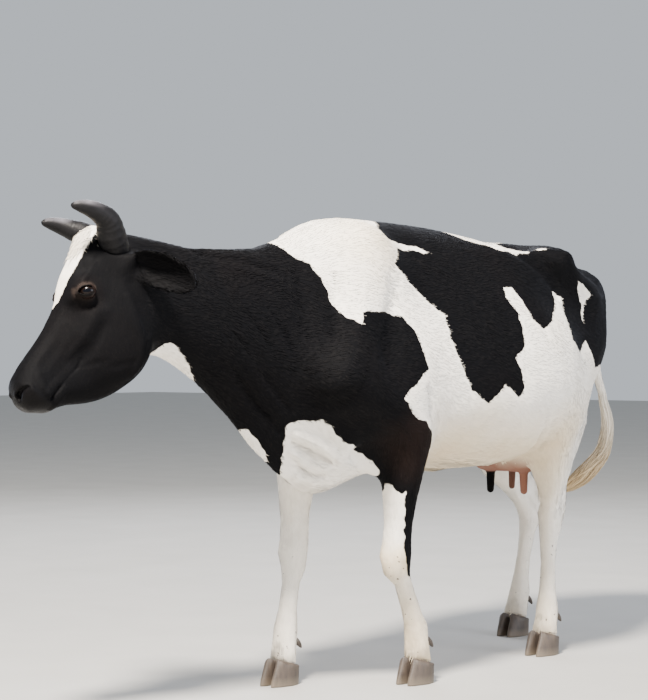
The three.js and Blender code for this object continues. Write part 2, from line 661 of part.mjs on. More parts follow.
function ear(side, room = 0) {
  const swing = radians(EAR.swing[side > 0 ? "left" : "right"]);
  const droop = radians(EAR.droop);
  const [s, l, n] = EAR.root;
  const [opensAhead, opensAside, opensOut] = EAR.opens;
  const out = v3(Math.sin(droop), Math.cos(swing) * side, -Math.sin(swing)).normalize();
  out.transformDirection(HEAD);
  const root = inHead(s, l * side, n);
  const open = v3(opensAhead, opensAside * side, opensOut).transformDirection(HEAD);
  open.addScaledVector(out, -open.dot(out)).normalize();
  const across = v3().crossVectors(open, out).multiplyScalar(side); // mirrored from side to side
  const [steps, arc] = [8, 4];
  const places = [];
  for (let i = 0; i <= steps; i++) {
    const u = i ? i / steps : -room / EAR.length;
    const half = earWidth(u);
    const depth = EAR.cup * half * (1.25 - 0.75 * u);
    const at = root.clone().addScaledVector(out, EAR.length * u);
    at.addScaledVector(open, -EAR.bow * Math.sin(Math.PI * u));
    const ring = [];
    for (let j = 0; j <= arc; j++) {
      const t = ((half + room) / half) * ((2 * j) / arc - 1);
      ring.push([half * t, depth * (t * t - 0.5) - EAR.thick / 2 - room]);
    }
    for (let j = arc; j >= 0; j--) {
      const t = ((half + room) / half) * ((2 * j) / arc - 1);
      ring.push([half * t * EAR.rim, depth * (t * t - 0.5) * EAR.rim + EAR.thick / 2 + room]);
    }
    for (const [a, b] of ring) places.push(at.clone().addScaledVector(across, a).addScaledVector(open, b));
  }
  return tube(places, 2 * (arc + 1), true);
}

// One claw: rings from the flat sole up to the hair line, longer at the toe.
function claw(x, y, inner) {
  const around = 8;
  const places = [];
  for (const [z, front, back, wide] of CLAW.rings)
    for (let j = 0; j < around; j++) {
      const angle = (2 * Math.PI * j) / around;
      const ahead = Math.cos(angle);
      const narrow = 1 - CLAW.pointed * Math.max(ahead, 0) ** 2;
      const across = wide * Math.sin(angle) * narrow + inner * CLAW.turn * Math.max(ahead, 0);
      places.push(v3(x + across, y - (ahead > 0 ? front : back) * ahead, z));
    }
  return tube(places, around);
}

// --------------------------------------------------------------------------------------------- the parts
const SKIN = { roughness: 0.75, metalness: 0 };
const FINISH = {
  black: new THREE.MeshStandardMaterial({ color: 0x191616, ...SKIN }),
  white: new THREE.MeshStandardMaterial({ color: 0xe9e2d8, ...SKIN }),
  pink: new THREE.MeshStandardMaterial({ color: 0xd9a58e, roughness: 0.6, metalness: 0 }),
  horn: new THREE.MeshStandardMaterial({ color: 0x55524f, roughness: 0.45, metalness: 0 }),
  hoof: new THREE.MeshStandardMaterial({ color: 0x4a4138, roughness: 0.5, metalness: 0 }),
  eye: new THREE.MeshStandardMaterial({ color: 0x120c09, roughness: 0.08, metalness: 0 }),
};

const cow = new THREE.Group();
function node(name, made, finish) {
  const mesh = new THREE.Mesh(geometryOf(largest(made)), FINISH[finish]);
  mesh.name = name;
  cow.add(mesh);
}

const AHEAD = v3(0, -1, 0);
const UP = v3(0, 0, 1);
const NECK_CUT = { at: v3(0, -330, 1050), facing: v3(0, -700, 180).normalize() };
const THROAT_CUT = {
  at: inHead(30, 0, -132), facing: v3(0.76, 0, 0.65).transformDirection(HEAD),
};
const LOIN = 690; // barrel and rump part here, behind the last rib
const FORE = { inner: 112, front: -175, back: 128, top: 792, knee: 445, chest: 545 };
const HIND = { front: 738, top: 905, hock: 512, inner: 118, udderTop: 800 };

const beyond = ({ at, facing }, way) => half(at, facing.clone().multiplyScalar(way), CUT / 2);

// What belongs to one leg: a box beside the body, and everything below it.
const beside = (a, b, s) => [Math.min(a * s, b * s), Math.max(a * s, b * s)];
function forelegRoom(name, grow) {
  const [low, high] = beside(FORE.inner - grow, 700, SIDES[name]);
  const upper = block([low, FORE.front - grow, FORE.chest - 60], [high, FORE.back + grow, FORE.top + grow]);
  const [inner, outer] = beside(60, 700, SIDES[name]);
  return solid(upper).add(solid(block([inner, -420, -50], [outer, 420, FORE.chest + grow])));
}
function hindlegRoom(name, grow) {
  const [low, high] = beside(4 - grow, 700, SIDES[name]);
  const room = block([low, HIND.front - grow, -50], [high, 2000, HIND.top + grow]);
  return solid(room).subtract(udderRoom(-grow));
}
const udderRoom = (grow) =>
  solid(block([-HIND.inner - grow, HIND.front, 470], [HIND.inner + grow, 1150 + grow, HIND.udderTop + grow]));
const tailRoom = (grow) => solid(block([-64 - grow, TAIL_CUT - grow, 560], [64 + grow, 2000, 1420]));

function eyeball(s, room = 0) {
  const at = inHead(EYE.s, EYE.l * s, EYE.n);
  return solid(new THREE.SphereGeometry(EYE.radius + room, 10, 7).translate(at.x, at.y, at.z));
}

// The head, with sockets for its horns, ears and eyes.
const headKey = (s, n, facing = HEAD_AXIS) => ({ at: inHead(s, 0, n), facing });
const skullKeys = [
  THROAT_CUT, headKey(110, -132), headKey(200, -140), headKey(300, -118), headKey(380, -86),
  headKey(440, -70), headKey(480, -66),
];
const throatKeys = [NECK_CUT, { at: v3(-18, -560, 1085), facing: v3(-0.1, -0.98, 0.1) }, THROAT_CUT];
let skull = drawn(body, skullKeys, { rings: 23, around: 24, reach: 400, side: HEAD_LEFT });
skull = skull.intersect(beyond(THROAT_CUT, 1));
let throat = drawn(body, throatKeys, { rings: 10, around: 24, reach: 520 });
throat = throat.intersect(beyond(NECK_CUT, 1)).intersect(beyond(THROAT_CUT, -1));
for (const [name, s] of Object.entries(SIDES)) {
  node(`horn_${name}`, horn(s), "horn");
  node(`eye_${name}`, eyeball(s), "eye");
  node(`ear_${name}`, ear(s), "black");
  skull = skull.subtract(horn(s, GAP)).subtract(eyeball(s, GAP)).subtract(ear(s, EAR_ROOM));
  throat = throat.subtract(ear(s, EAR_ROOM)).subtract(horn(s, GAP));
}
node("head", skull, "black");
node("neck", throat, "black");

// The barrel from the neck to the loin, and the rump behind it.
const trunkKey = (y, z, facing = AHEAD) => ({ at: v3(0, y, z), facing });
const barrelKeys = [
  NECK_CUT, trunkKey(-150, 960), trunkKey(100, 980), trunkKey(400, 980), trunkKey(LOIN, 1010),
];
const rumpKeys = [
  trunkKey(LOIN, 1010), trunkKey(900, 1060), trunkKey(1090, 1090), trunkKey(1180, 1090), trunkKey(1262, 1090),
];
function barrelOrRump(name, keys, rings, room) {
  let made = drawn(body, keys, { rings, around: 32, reach: 620 }).intersect(room);
  made = made.subtract(udderRoom(CUT)).subtract(tailRoom(CUT));
  for (const leg of Object.keys(SIDES)) {
    made = made.subtract(forelegRoom(leg, CUT)).subtract(hindlegRoom(leg, CUT));
  }
  node(name, made, "white");
}
barrelOrRump("trunk", barrelKeys, 17, beyond(NECK_CUT, -1));
barrelOrRump("rump", rumpKeys, 15, half(v3(0, LOIN, 0), v3(0, 1, 0), CUT));

// The legs: an upper and a lower length each, cut at the coronet above the claws.
const atHeight = (z, up) => half(v3(0, 0, z), v3(0, 0, up), CUT / 2);
const coronet = (foot, up) => half(v3(0, foot[1] - 40, CORONET + 12), v3(0, 0.3 * up, up), CUT / 2);
function dewclaw([x, y, z], way, s, room = 0) {
  const [dx, dy, dz] = [(x + way * 20) * s, y + 28, z - 22];
  return swept([
    [dx, dy - 12, dz + 8, 12 + room], [dx + way * s, dy + 10, dz - 5, 12 + room],
    [dx + way * s * 3, dy + 25, dz - 24, 4],
  ], { around: 6, along: 1 });
}

const ring = ([x, y, z], s) => ({ at: v3(x * s, y, z), facing: UP });

const level = (from, to, z) => between(from, to, (from[2] - z) / (from[2] - to[2]));
// The middle of a hind leg at a height above its hock, between the shin and the tendon.
function calf(joints, z) {
  const { heel, ham } = tendon(joints);
  return between(level(joints.stifle, joints.hock, z), level(ham, heel, z), 0.45);
}

function leg(kind, name, upper, cut, top, { foot, fetlock, knee, hock }) {
  const s = SIDES[name];
  const joint = knee ?? hock;
  node(`${kind}leg_upper_${name}`, upper.intersect(atHeight(cut, 1)), kind === "fore" ? "black" : "white");
  const keys = [
    ring(top, s), ring(shifted(joint, 0, 0, -60), s),
    ring(between(joint, fetlock, 0.6), s), ring(fetlock, s),
    ring([foot[0], (fetlock[1] + foot[1]) / 2 + 4, 92], s), ring([foot[0], foot[1] + 8, 40], s),
  ];
  let shank = drawn(flesh, keys, { rings: knee ? 12 : 14, around: 10, reach: 110 });
  shank = shank.intersect(atHeight(cut, -1)).intersect(coronet(foot, 1));
  for (const [which, way] of [["outer", 1], ["inner", -1]]) {
    node(`claw_${kind}_${which}_${name}`,
      claw((foot[0] + way * CLAW.spread) * s, foot[1], -way * s).intersect(coronet(foot, -1)), "hoof");
    node(`dewclaw_${kind}_${which}_${name}`, dewclaw(fetlock, way, s), "hoof");
    shank = shank.subtract(dewclaw(fetlock, way, s, GAP));
  }
  node(`${kind}leg_lower_${name}`, shank, "white");
}

for (const [name, s] of Object.entries(SIDES)) {
  const { elbow, knee } = FORELEG[name];
  const armKeys = [shifted(elbow, 0, -6, 70), shifted(elbow, -2, -4, -60), shifted(knee, 0, 0, 40)];
  const arm = drawn(flesh, armKeys.map((p) => ring(p, s)), { rings: 9, around: 16, reach: 240 });
  const kneeTop = shifted(knee, 0, 0, FORE.knee + 10 - knee[2]);
  leg("fore", name, arm.intersect(forelegRoom(name, 0)), FORE.knee, kneeTop, FORELEG[name]);
  const { hip, stifle } = HINDLEG[name];
  const hamKeys = [
    [stifle[0] - 40, (hip[1] + stifle[1]) / 2 + 40, HIND.top + 12],
    shifted(calf(HINDLEG[name], 770), -20, 20, 0), calf(HINDLEG[name], 660), calf(HINDLEG[name], 580),
    calf(HINDLEG[name], HIND.hock - 12),
  ];
  const thighs = drawn(flesh, hamKeys.map((p) => ring(p, s)), { rings: 13, around: 22, reach: 420 });
  leg("hind", name, thighs.intersect(hindlegRoom(name, 0)), HIND.hock, calf(HINDLEG[name], HIND.hock + 10),
    HINDLEG[name]);
}

// The udder, with a socket for each teat.
function teat([x, y, z], s, room = 0) {
  return swept([
    [x * s, y, z + 30, 15 + room], [x * s, y, z - 20, 14 + room], [x * s * 1.04, y, z - 62, 11],
    [x * s * 1.04, y, z - 72, 4],
  ], { around: 8, along: 1 });
}
const udderKeys = [
  ring([0, UDDER.y + 20, HIND.udderTop + 10], 1), ring([0, UDDER.y, 700], 1), ring([0, UDDER.y, 602], 1),
];
let bag = drawn(body, udderKeys, { rings: 8, around: 20, reach: 330 }).intersect(udderRoom(0));
for (const [place, spot] of Object.entries(TEATS))
  for (const [name, s] of Object.entries(SIDES)) {
    node(`teat_${place}_${name}`, teat(spot, s), "pink");
    bag = bag.subtract(teat(spot, s, GAP));
  }
node("udder", bag, "pink");

// The tail with the tail head, and the switch of long hair round its end.
const tailAxis = new THREE.CatmullRomCurve3(TAIL_PATH.map(([x, y, z]) => v3(x, y, z)), false, "centripetal");
const tailKeys = TAIL_PATH.map(([x, y, z], i) => ({
  at: v3(x, y, z), facing: tailAxis.getTangent(i / (TAIL_PATH.length - 1)),
}));
node("tail", drawn(body, tailKeys, { rings: 16, around: 8, reach: 120 }).intersect(tailRoom(0)), "white");
const bone = TAIL_PATH.map(([x, y, z, r]) => [x, y, z, r + BONE_ROOM]);
const brush = swept(SWITCH_PATH, { around: 8, along: 1 }).subtract(swept(bone, { around: 12, along: 3 }));
node("tail_switch", brush, "white");

// The model stands on the middle of the floor that it covers.
const covers = new THREE.Box3().setFromObject(cow);
const middle = covers.getCenter(v3());
const scale = WITHERS / DRAWN_WITHERS;
for (const mesh of cow.children) {
  mesh.geometry.translate(-middle.x, -middle.y, -covers.min.z).scale(scale, scale, scale);
}

export default cow;
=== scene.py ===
"""A horned dairy cow, life-size, standing still: skin, coat, tail switch, horns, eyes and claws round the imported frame.

Body measures are in millimetres, as [x, y, z]: x to the cow's left, y backwards from a line through the middle of the
fore feet, z up from the floor. Head measures are [s, l, n]: s from the poll down the face, l to the cow's left, n out of
the face. Both are turned to the frame's metres by body() and skull().
"""
import math

import bpy
import numpy as np
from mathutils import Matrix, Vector
from mathutils.bvhtree import BVHTree


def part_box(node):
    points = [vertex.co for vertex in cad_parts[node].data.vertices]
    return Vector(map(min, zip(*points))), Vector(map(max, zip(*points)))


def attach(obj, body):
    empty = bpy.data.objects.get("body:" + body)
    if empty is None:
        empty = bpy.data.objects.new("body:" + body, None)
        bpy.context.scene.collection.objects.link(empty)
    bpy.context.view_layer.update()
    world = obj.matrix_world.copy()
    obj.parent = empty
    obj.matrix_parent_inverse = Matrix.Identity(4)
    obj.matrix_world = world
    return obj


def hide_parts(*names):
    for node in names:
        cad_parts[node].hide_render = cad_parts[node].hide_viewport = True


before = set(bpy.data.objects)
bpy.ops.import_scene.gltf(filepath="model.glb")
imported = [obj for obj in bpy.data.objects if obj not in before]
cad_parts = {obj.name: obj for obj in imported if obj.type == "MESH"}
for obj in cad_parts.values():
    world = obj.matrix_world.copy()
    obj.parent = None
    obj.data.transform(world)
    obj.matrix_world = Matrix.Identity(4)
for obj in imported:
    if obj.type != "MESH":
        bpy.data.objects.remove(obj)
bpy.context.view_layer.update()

bl_info = {
    "name": "Dairy Cow",
    "version": (1, 0, 0),
    "blender": (4, 5, 0),
    "location": "View3D > Sidebar > Cow",
    "description": "Makes the skin, coat, horns, eyes and claws of a life-size standing cow",
    "category": "Add Mesh",
}

# ------------------------------------------------------------------------------------------------ measures
LOIN_CUT = 690  # mm, where the trunk ends and the rump begins
FORE_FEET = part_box("trunk")[1].y - LOIN_CUT / 1000
POLL = (-109, -968, 1285)
HEAD_TURN, HEAD_DROP, HEAD_ROLL = 16, 55.5, 8  # degrees
EYE = (143, 88, -29)
SIDES = {"left": 1, "right": -1}
LEGS = [f"{pair}leg_{part}_{side}" for pair in ("fore", "hind") for part in ("upper", "lower") for side in SIDES]
TEATS = [f"teat_{pair}_{side}" for pair in ("fore", "hind") for side in SIDES]
EARS = ["ear_left", "ear_right"]
FLESH = ["head", "neck", "trunk", "rump", "tail", "udder", *LEGS, *TEATS, *EARS]
CLAWS = [f"{kind}_{pair}_{place}_{side}" for kind in ("claw", "dewclaw") for pair in ("fore", "hind")
         for place in ("outer", "inner") for side in SIDES]


def body(points):
    """Body measures in mm as places in the frame, in metres."""
    return np.asarray(points, float) / 1000 + (0, FORE_FEET, 0)


def head_axes():
    """The head's own directions: down the face, to its left, and out of the face."""
    turn, drop, roll = map(math.radians, (HEAD_TURN, HEAD_DROP, HEAD_ROLL))
    ahead = np.array((-math.sin(turn), -math.cos(turn), 0))
    down = ahead * math.cos(drop) - (0, 0, math.sin(drop))
    level = np.array((-ahead[1], ahead[0], 0))
    left = level * math.cos(roll) + np.cross(down, level) * math.sin(roll)
    return np.array((down, left, np.cross(down, left)))


HEAD = head_axes()


def skull(points):
    """Head measures in mm as places in the frame, in metres."""
    return body(POLL) + np.asarray(points, float) @ HEAD / 1000


def in_skull(places):
    """Places in the frame as head measures in mm."""
    return (places - body(POLL)) @ HEAD.T * 1000


def mirrored(points, side):
    """The same measures on the other side of the middle when side is -1."""
    points = np.array(points, float)
    points[..., 0 if points.shape[-1] == 3 else 1] *= side
    return points


# ------------------------------------------------------------------------------------------------ small tools
def alone(*objects):
    """Leaves only these objects selected, the first of them active."""
    bpy.ops.object.select_all(action="DESELECT")
    for obj in objects:
        obj.select_set(True)
    bpy.context.view_layer.objects.active = objects[0]


def own_copy(name, node):
    """A copy of a CAD node with its loose triangles merged."""
    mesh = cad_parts[node].data.copy()
    mesh.materials.clear()
    obj = bpy.data.objects.new(name, mesh)
    bpy.context.scene.collection.objects.link(obj)
    alone(obj)
    bpy.ops.object.mode_set(mode="EDIT")
    bpy.ops.mesh.select_all(action="SELECT")
    bpy.ops.mesh.remove_doubles(threshold=1e-5)
    bpy.ops.object.mode_set(mode="OBJECT")
    return obj


def modify(obj, kind, **settings):
    """Adds one modifier and applies it."""
    modifier = obj.modifiers.new("form", kind)
    for key, value in settings.items():
        setattr(modifier, key, value)
    alone(obj)
    bpy.ops.object.modifier_apply(modifier=modifier.name)


def joined(name, objects):
    alone(*objects)
    bpy.ops.object.join()
    objects[0].name = objects[0].data.name = name
    return objects[0]


def new_mesh(name, places, faces, smooth=True):
    mesh = bpy.data.meshes.new(name)
    faces = np.asarray(faces)
    mesh.vertices.add(len(places))
    mesh.vertices.foreach_set("co", np.asarray(places, np.float32).ravel())
    mesh.loops.add(faces.size)
    mesh.loops.foreach_set("vertex_index", faces.astype(np.int32).ravel())
    mesh.polygons.add(len(faces))
    mesh.polygons.foreach_set("loop_start", np.arange(0, faces.size, faces.shape[1], dtype=np.int32))
    mesh.update(calc_edges=True)
    mesh.polygons.foreach_set("use_smooth", np.full(len(faces), smooth))
    obj = bpy.data.objects.new(name, mesh)
    bpy.context.scene.collection.objects.link(obj)
    return obj


def places_of(mesh):
    places = np.empty(len(mesh.vertices) * 3, np.float32)
    mesh.vertices.foreach_get("co", places)
    return places.reshape(-1, 3).astype(float)


def place(mesh, places):
    mesh.vertices.foreach_set("co", places.astype(np.float32).ravel())
    mesh.update()


def normals_of(mesh):
    normals = np.empty(len(mesh.vertices) * 3, np.float32)
    mesh.vertex_normals.foreach_get("vector", normals)
    return normals.reshape(-1, 3).astype(float)


def triangles_of(mesh):
    mesh.calc_loop_triangles()
    triangles = np.empty(len(mesh.loop_triangles) * 3, np.int32)
    mesh.loop_triangles.foreach_get("vertices", triangles)
    return triangles.reshape(-1, 3)


def unit(vectors):
    return vectors / np.maximum(np.linalg.norm(vectors, axis=-1, keepdims=True), 1e-9)


def ramp(value, low, high):
    """0 below low, 1 above high, and an even S between them."""
    t = np.clip((value - low) / (high - low), 0, 1)
    return t * t * (3 - 2 * t)


def paint(mesh, **values):
    """Gives the mesh one number for each vertex under each name."""
    for name, numbers in values.items():
        layer = mesh.attributes.new(name, "FLOAT", "POINT")
        layer.data.foreach_set("value", np.asarray(numbers, np.float32))


class Neighbours:
    """The vertices next to each vertex of a mesh, kept for quick averages."""

    def __init__(self, mesh):
        edges = np.empty(len(mesh.edges) * 2, np.int32)
        mesh.edges.foreach_get("vertices", edges)
        edges = edges.reshape(-1, 2)
        ends = np.concatenate((edges[:, 0], edges[:, 1]))
        others = np.concatenate((edges[:, 1], edges[:, 0]))
        order = np.argsort(ends, kind="stable")
        self.others = others[order]
        self.counts = np.maximum(np.bincount(ends, minlength=len(mesh.vertices)), 1)
        self.starts = np.concatenate(([0], np.cumsum(self.counts)[:-1]))

    def mean(self, values):
        sums = np.add.reduceat(values[self.others], self.starts, axis=0)
        return sums / (self.counts[:, None] if values.ndim > 1 else self.counts)


def path_distance(places, points, sizes):
    """How far each place is from a path, as a share of the path's size there, and which values it has there.

    sizes holds one row for each point of the path; its first column is the size."""
    points, sizes = np.asarray(points, float), np.asarray(sizes, float)
    nearest = np.full(len(places), np.inf)
    values = np.zeros((len(places), sizes.shape[1]))
    pairs = list(zip(range(len(points) - 1), range(1, len(points)))) or [(0, 0)]
    for a, b in pairs:
        along = points[b] - points[a]
        t = np.clip((places - points[a]) @ along / max(along @ along, 1e-12), 0, 1)[:, None]
        here = sizes[a] * (1 - t) + sizes[b] * t
        share = np.linalg.norm(places - points[a] - t * along, axis=1) / here[:, 0]
        better = share < nearest
        nearest[better] = share[better]
        values[better] = here[better]
    return nearest, values


def inside_by(points, outline):
    """Signed distance of 2-D points to an outline, positive inside it."""
    outline = np.asarray(outline, float)
    best = np.full(len(points), np.inf)
    inside = np.zeros(len(points), bool)
    for a, b in zip(outline, np.roll(outline, -1, axis=0)):
        along = b - a
        t = np.clip((points - a) @ along / max(along @ along, 1e-12), 0, 1)[:, None]
        best = np.minimum(best, np.linalg.norm(points - a - t * along, axis=1))
        crosses = (a[1] > points[:, 1]) != (b[1] > points[:, 1])
        rise = (b[1] - a[1]) or 1e-12
        inside ^= crosses & (points[:, 0] < (b[0] - a[0]) * (points[:, 1] - a[1]) / rise + a[0])
    return np.where(inside, best, -best)


# ------------------------------------------------------------------------------------------------ materials
def linear(value):
    """An sRGB hex value as a linear colour."""
    channels = [(value >> shift & 255) / 255 for shift in (16, 8, 0)]
    return (*(c / 12.92 if c <= 0.04045 else ((c + 0.055) / 1.055) ** 2.4 for c in channels), 1.0)


def add(tree, kind, inputs=None, **settings):
    """Adds a node, sets its settings, and fills its inputs with values or with other nodes' outputs."""
    node = tree.nodes.new(kind)
    for key, value in settings.items():
        setattr(node, key, value)
    for key, value in (inputs or {}).items():
        if isinstance(value, bpy.types.NodeSocket):
            tree.links.new(value, node.inputs[key])
        else:
            node.inputs[key].default_value = value
    return node


def new_material(name, **sockets):
    """A material with a Principled shader; returns the material, its tree and the shader."""
    material = bpy.data.materials.new(name)
    material.use_nodes = True
    tree = material.node_tree
    shader = tree.nodes["Principled BSDF"]
    for key, value in sockets.items():
        shader.inputs[key.replace("_", " ")].default_value = value
    return material, tree, shader


def blend_colour(tree, share, a, b):
    node = add(tree, "ShaderNodeMix", data_type="RGBA")
    for socket, value in ((node.inputs[0], share), (node.inputs[6], a), (node.inputs[7], b)):
        if isinstance(value, bpy.types.NodeSocket):
            tree.links.new(value, socket)
        else:
            socket.default_value = value
    return node.outputs[2]


def attribute(tree, name):
    return add(tree, "ShaderNodeAttribute", attribute_name=name).outputs["Fac"]


def calc(tree, operation, a, b=0.0, c=0.0, clamp=False):
    node = add(tree, "ShaderNodeMath", {0: a, 1: b, 2: c}, operation=operation, use_clamp=clamp)
    return node.outputs[0]


def streaks(tree, stretch, scale, detail=3.0):
    """Noise drawn out along one direction: stretch holds the shrink of each Object axis."""
    where = add(tree, "ShaderNodeTexCoord").outputs["Object"]
    drawn = add(tree, "ShaderNodeMapping", {"Vector": where, "Scale": stretch})
    return add(tree, "ShaderNodeTexNoise", {"Vector": drawn.outputs[0], "Scale": scale, "Detail": detail})


def hide_material(cow):
    """Short cattle hair lying flat on hide: a soft velvet sheen, cool on black, with skin bare at muzzle and udder.

    Real hairs are 0.05 mm wide; the streaks are drawn about 4 mm wide, the finest that still shows."""
    material, tree, shader = new_material("short_hair_on_hide", Roughness=0.78, Sheen_Weight=0.03,
                                          Sheen_Roughness=0.3, Sheen_Tint=linear(0xA9B4D2),
                                          Specular_IOR_Level=0.06, IOR=1.45)
    spots = streaks(tree, (1, 0.6, 1), 55, 4).outputs["Fac"]
    ragged = calc(tree, "MULTIPLY_ADD", calc(tree, "SUBTRACT", spots, 0.5), 0.010, attribute(tree, "black"))
    is_black = add(tree, "ShaderNodeMapRange", {"Value": ragged, "From Min": -0.0015, "From Max": 0.0015},
                   interpolation_type="SMOOTHSTEP").outputs["Result"]
    broad = streaks(tree, (1, 1, 1), 3.5, 4).outputs["Fac"]
    tone = attribute(tree, "tone")
    rust = calc(tree, "ADD", calc(tree, "MULTIPLY", attribute(tree, "rust"), 0.9),
                calc(tree, "MULTIPLY", calc(tree, "SUBTRACT", broad, 0.52), 0.35), clamp=True)
    dark = blend_colour(tree, rust, linear(cow.black_hair), linear(cow.rusty_hair))
    dark = blend_colour(tree, calc(tree, "MULTIPLY", tone, 0.06), dark, linear(0x3A3634))
    dark = blend_colour(tree, attribute(tree, "beige"), dark, linear(0x3A312C))
    # Yellowed white hair: real stains, and on the lower barrel a painted reflection of light from the ground.
    warm = calc(tree, "MULTIPLY_ADD", calc(tree, "SUBTRACT", broad, 0.5), 0.9, attribute(tree, "stain"), clamp=True)
    pale = blend_colour(tree, warm, linear(cow.white_hair), linear(cow.stained_hair))
    pale = blend_colour(tree, calc(tree, "MULTIPLY", tone, 0.10), pale, linear(0xB9AFA2))
    mud = streaks(tree, (1, 1, 1), 70, 1.5).outputs["Fac"]
    muddy = calc(tree, "MULTIPLY", calc(tree, "GREATER_THAN", mud, 0.72), attribute(tree, "mud"))
    pale = blend_colour(tree, muddy, pale, linear(0x3B2F27))
    hair = blend_colour(tree, is_black, pale, dark)
    pores = add(tree, "ShaderNodeTexVoronoi", {"Vector": add(tree, "ShaderNodeTexCoord").outputs["Object"],
                                               "Scale": 260.0}, feature="DISTANCE_TO_EDGE").outputs["Distance"]
    rosy = blend_colour(tree, broad, linear(cow.bare_skin), linear(0x6E4C40))
    # Dark bare skin: the muzzle and round the eyes, with painted shade on the teats of the right side.
    skin_tone = blend_colour(tree, attribute(tree, "dusky"), rosy, linear(0x0C0B0C))
    bare = attribute(tree, "bare")
    tree.links.new(blend_colour(tree, bare, hair, skin_tone), shader.inputs["Base Color"])
    wet = attribute(tree, "wet")
    rough = calc(tree, "SUBTRACT", 0.78, calc(tree, "MULTIPLY", wet, 0.32))
    rough = calc(tree, "SUBTRACT", rough, calc(tree, "MULTIPLY", is_black, 0.08))
    tree.links.new(rough, shader.inputs["Roughness"])
    run = calc(tree, "MULTIPLY", attribute(tree, "upright"), streaks(tree, (1, 1, 0.16), 120, 2).outputs["Fac"])
    level = calc(tree, "SUBTRACT", 1.0, attribute(tree, "upright"))
    run = calc(tree, "MULTIPLY_ADD", level, streaks(tree, (1, 0.16, 0.8), 120, 2).outputs["Fac"], run)
    lie = calc(tree, "MULTIPLY", run, calc(tree, "SUBTRACT", 1.0, bare))
    height = calc(tree, "MULTIPLY_ADD", calc(tree, "MULTIPLY", bare, pores), 2.2, lie)
    bump = add(tree, "ShaderNodeBump", {"Height": height, "Strength": 0.35, "Distance": 0.002})
    tree.links.new(bump.outputs[0], shader.inputs["Normal"])
    return material


def once(make, cow):
    """The material that a function makes, made only the first time."""
    if make.__name__ not in MADE:
        MADE[make.__name__] = make(cow)
    return MADE[make.__name__]


MADE = {}

# ------------------------------------------------------------------------------------------------ skin: first form
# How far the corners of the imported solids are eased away, in mm, and how deep the coat is there, in mm.
EASE = {"trunk": (34, 2.4), "neck": (26, 2.4), "rump": (24, 2.4), "head": (8, 1.3), "ear": (3, 1.0), "udder": (14, 0.6),
        "teat": (5, 0.2), "tail": (6, 1.6), "upper": (17, 2.0), "lower": (8, 1.3)}
GRAIN = 0.0055  # m, the grid of the first form
EASE_STEPS = 140


def part_of(node):
    if node in EASE:
        return node
    return next(part for part in ("ear", "teat", "upper", "lower") if part in node)


def nearest_part(places):
    """For each place, which part of the body it lies on."""
    verts, faces, parts = [], [], []
    for node in FLESH:
        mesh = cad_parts[node].data
        start = len(verts)
        verts += [tuple(v.co) for v in mesh.vertices]
        faces += [[start + i for i in p.vertices] for p in mesh.polygons]
        parts += [node] * len(mesh.polygons)
    tree = BVHTree.FromPolygons(verts, faces)
    return np.array([parts[tree.find_nearest(p)[2]] for p in places.tolist()])


def first_form():
    """The nodes of flesh as one closed surface on an even grid, with their corners eased."""
    shapes = [own_copy(f"form_{node}", node) for node in [*FLESH, "eye_left", "eye_right"]]
    for obj in shapes:
        modify(obj, "DISPLACE", strength=0.0014, mid_level=0.0)
    skin = joined("skin", shapes)
    modify(skin, "REMESH", mode="VOXEL", voxel_size=GRAIN)
    mesh = skin.data
    near = Neighbours(mesh)
    places = places_of(mesh)
    nodes = nearest_part(places)
    lookup = {node: EASE[part_of(node)] for node in FLESH}
    reach = np.array([lookup[node][0] for node in nodes], float)
    depth = np.array([lookup[node][1] for node in nodes], float)
    for _ in range(30):
        reach, depth = near.mean(reach), near.mean(depth)
    share = np.minimum(2 * (reach / (GRAIN * 1000)) ** 2 / EASE_STEPS, 0.6)[:, None]
    for _ in range(EASE_STEPS):
        places += share * (near.mean(places) - places)
    place(mesh, places)
    place(mesh, places - normals_of(mesh) * depth[:, None] / 1000)
    return skin


# ------------------------------------------------------------------------------------------------ skin: modelling
def refine(skin, centre, radius):
    """Splits the faces within radius of a place once more each way."""
    mesh = skin.data
    near = np.linalg.norm(places_of(mesh) - centre, axis=1) < radius
    alone(skin)
    bpy.ops.object.mode_set(mode="EDIT")
    bpy.ops.mesh.select_all(action="DESELECT")
    bpy.ops.object.mode_set(mode="OBJECT")
    corners = np.empty(len(mesh.loops), np.int32)
    mesh.loops.foreach_get("vertex_index", corners)
    starts = np.empty(len(mesh.polygons), np.int32)
    mesh.polygons.foreach_get("loop_start", starts)
    chosen = np.logical_and.reduceat(near[corners], starts)
    edges = np.empty(len(mesh.edges) * 2, np.int32)
    mesh.edges.foreach_get("vertices", edges)
    mesh.vertices.foreach_set("select", near)
    mesh.edges.foreach_set("select", near[edges.reshape(-1, 2)].all(axis=1))
    mesh.polygons.foreach_set("select", chosen)
    bpy.ops.object.mode_set(mode="EDIT")
    bpy.ops.mesh.subdivide(number_cuts=1)
    bpy.ops.object.mode_set(mode="OBJECT")


def stroke(places, normals, points, sizes, heights, pull=None):
    """Raises (or sinks, below 0) the surface along a path; points in the frame, sizes and heights in mm."""
    rows = np.column_stack((np.broadcast_to(sizes, len(points)), np.broadcast_to(heights, len(points)))) / 1000
    low = np.min(points, axis=0) - rows[:, 0].max()
    high = np.max(points, axis=0) + rows[:, 0].max()
    near = np.flatnonzero(((places > low) & (places < high)).all(axis=1))
    if not len(near):
        return
    share, values = path_distance(places[near], points, rows)
    fade = np.clip(1 - share * share, 0, 1) ** 2
    way = normals[near] if pull is None else np.asarray(pull, float)
    places[near] += way * (values[:, 1] * fade)[:, None]


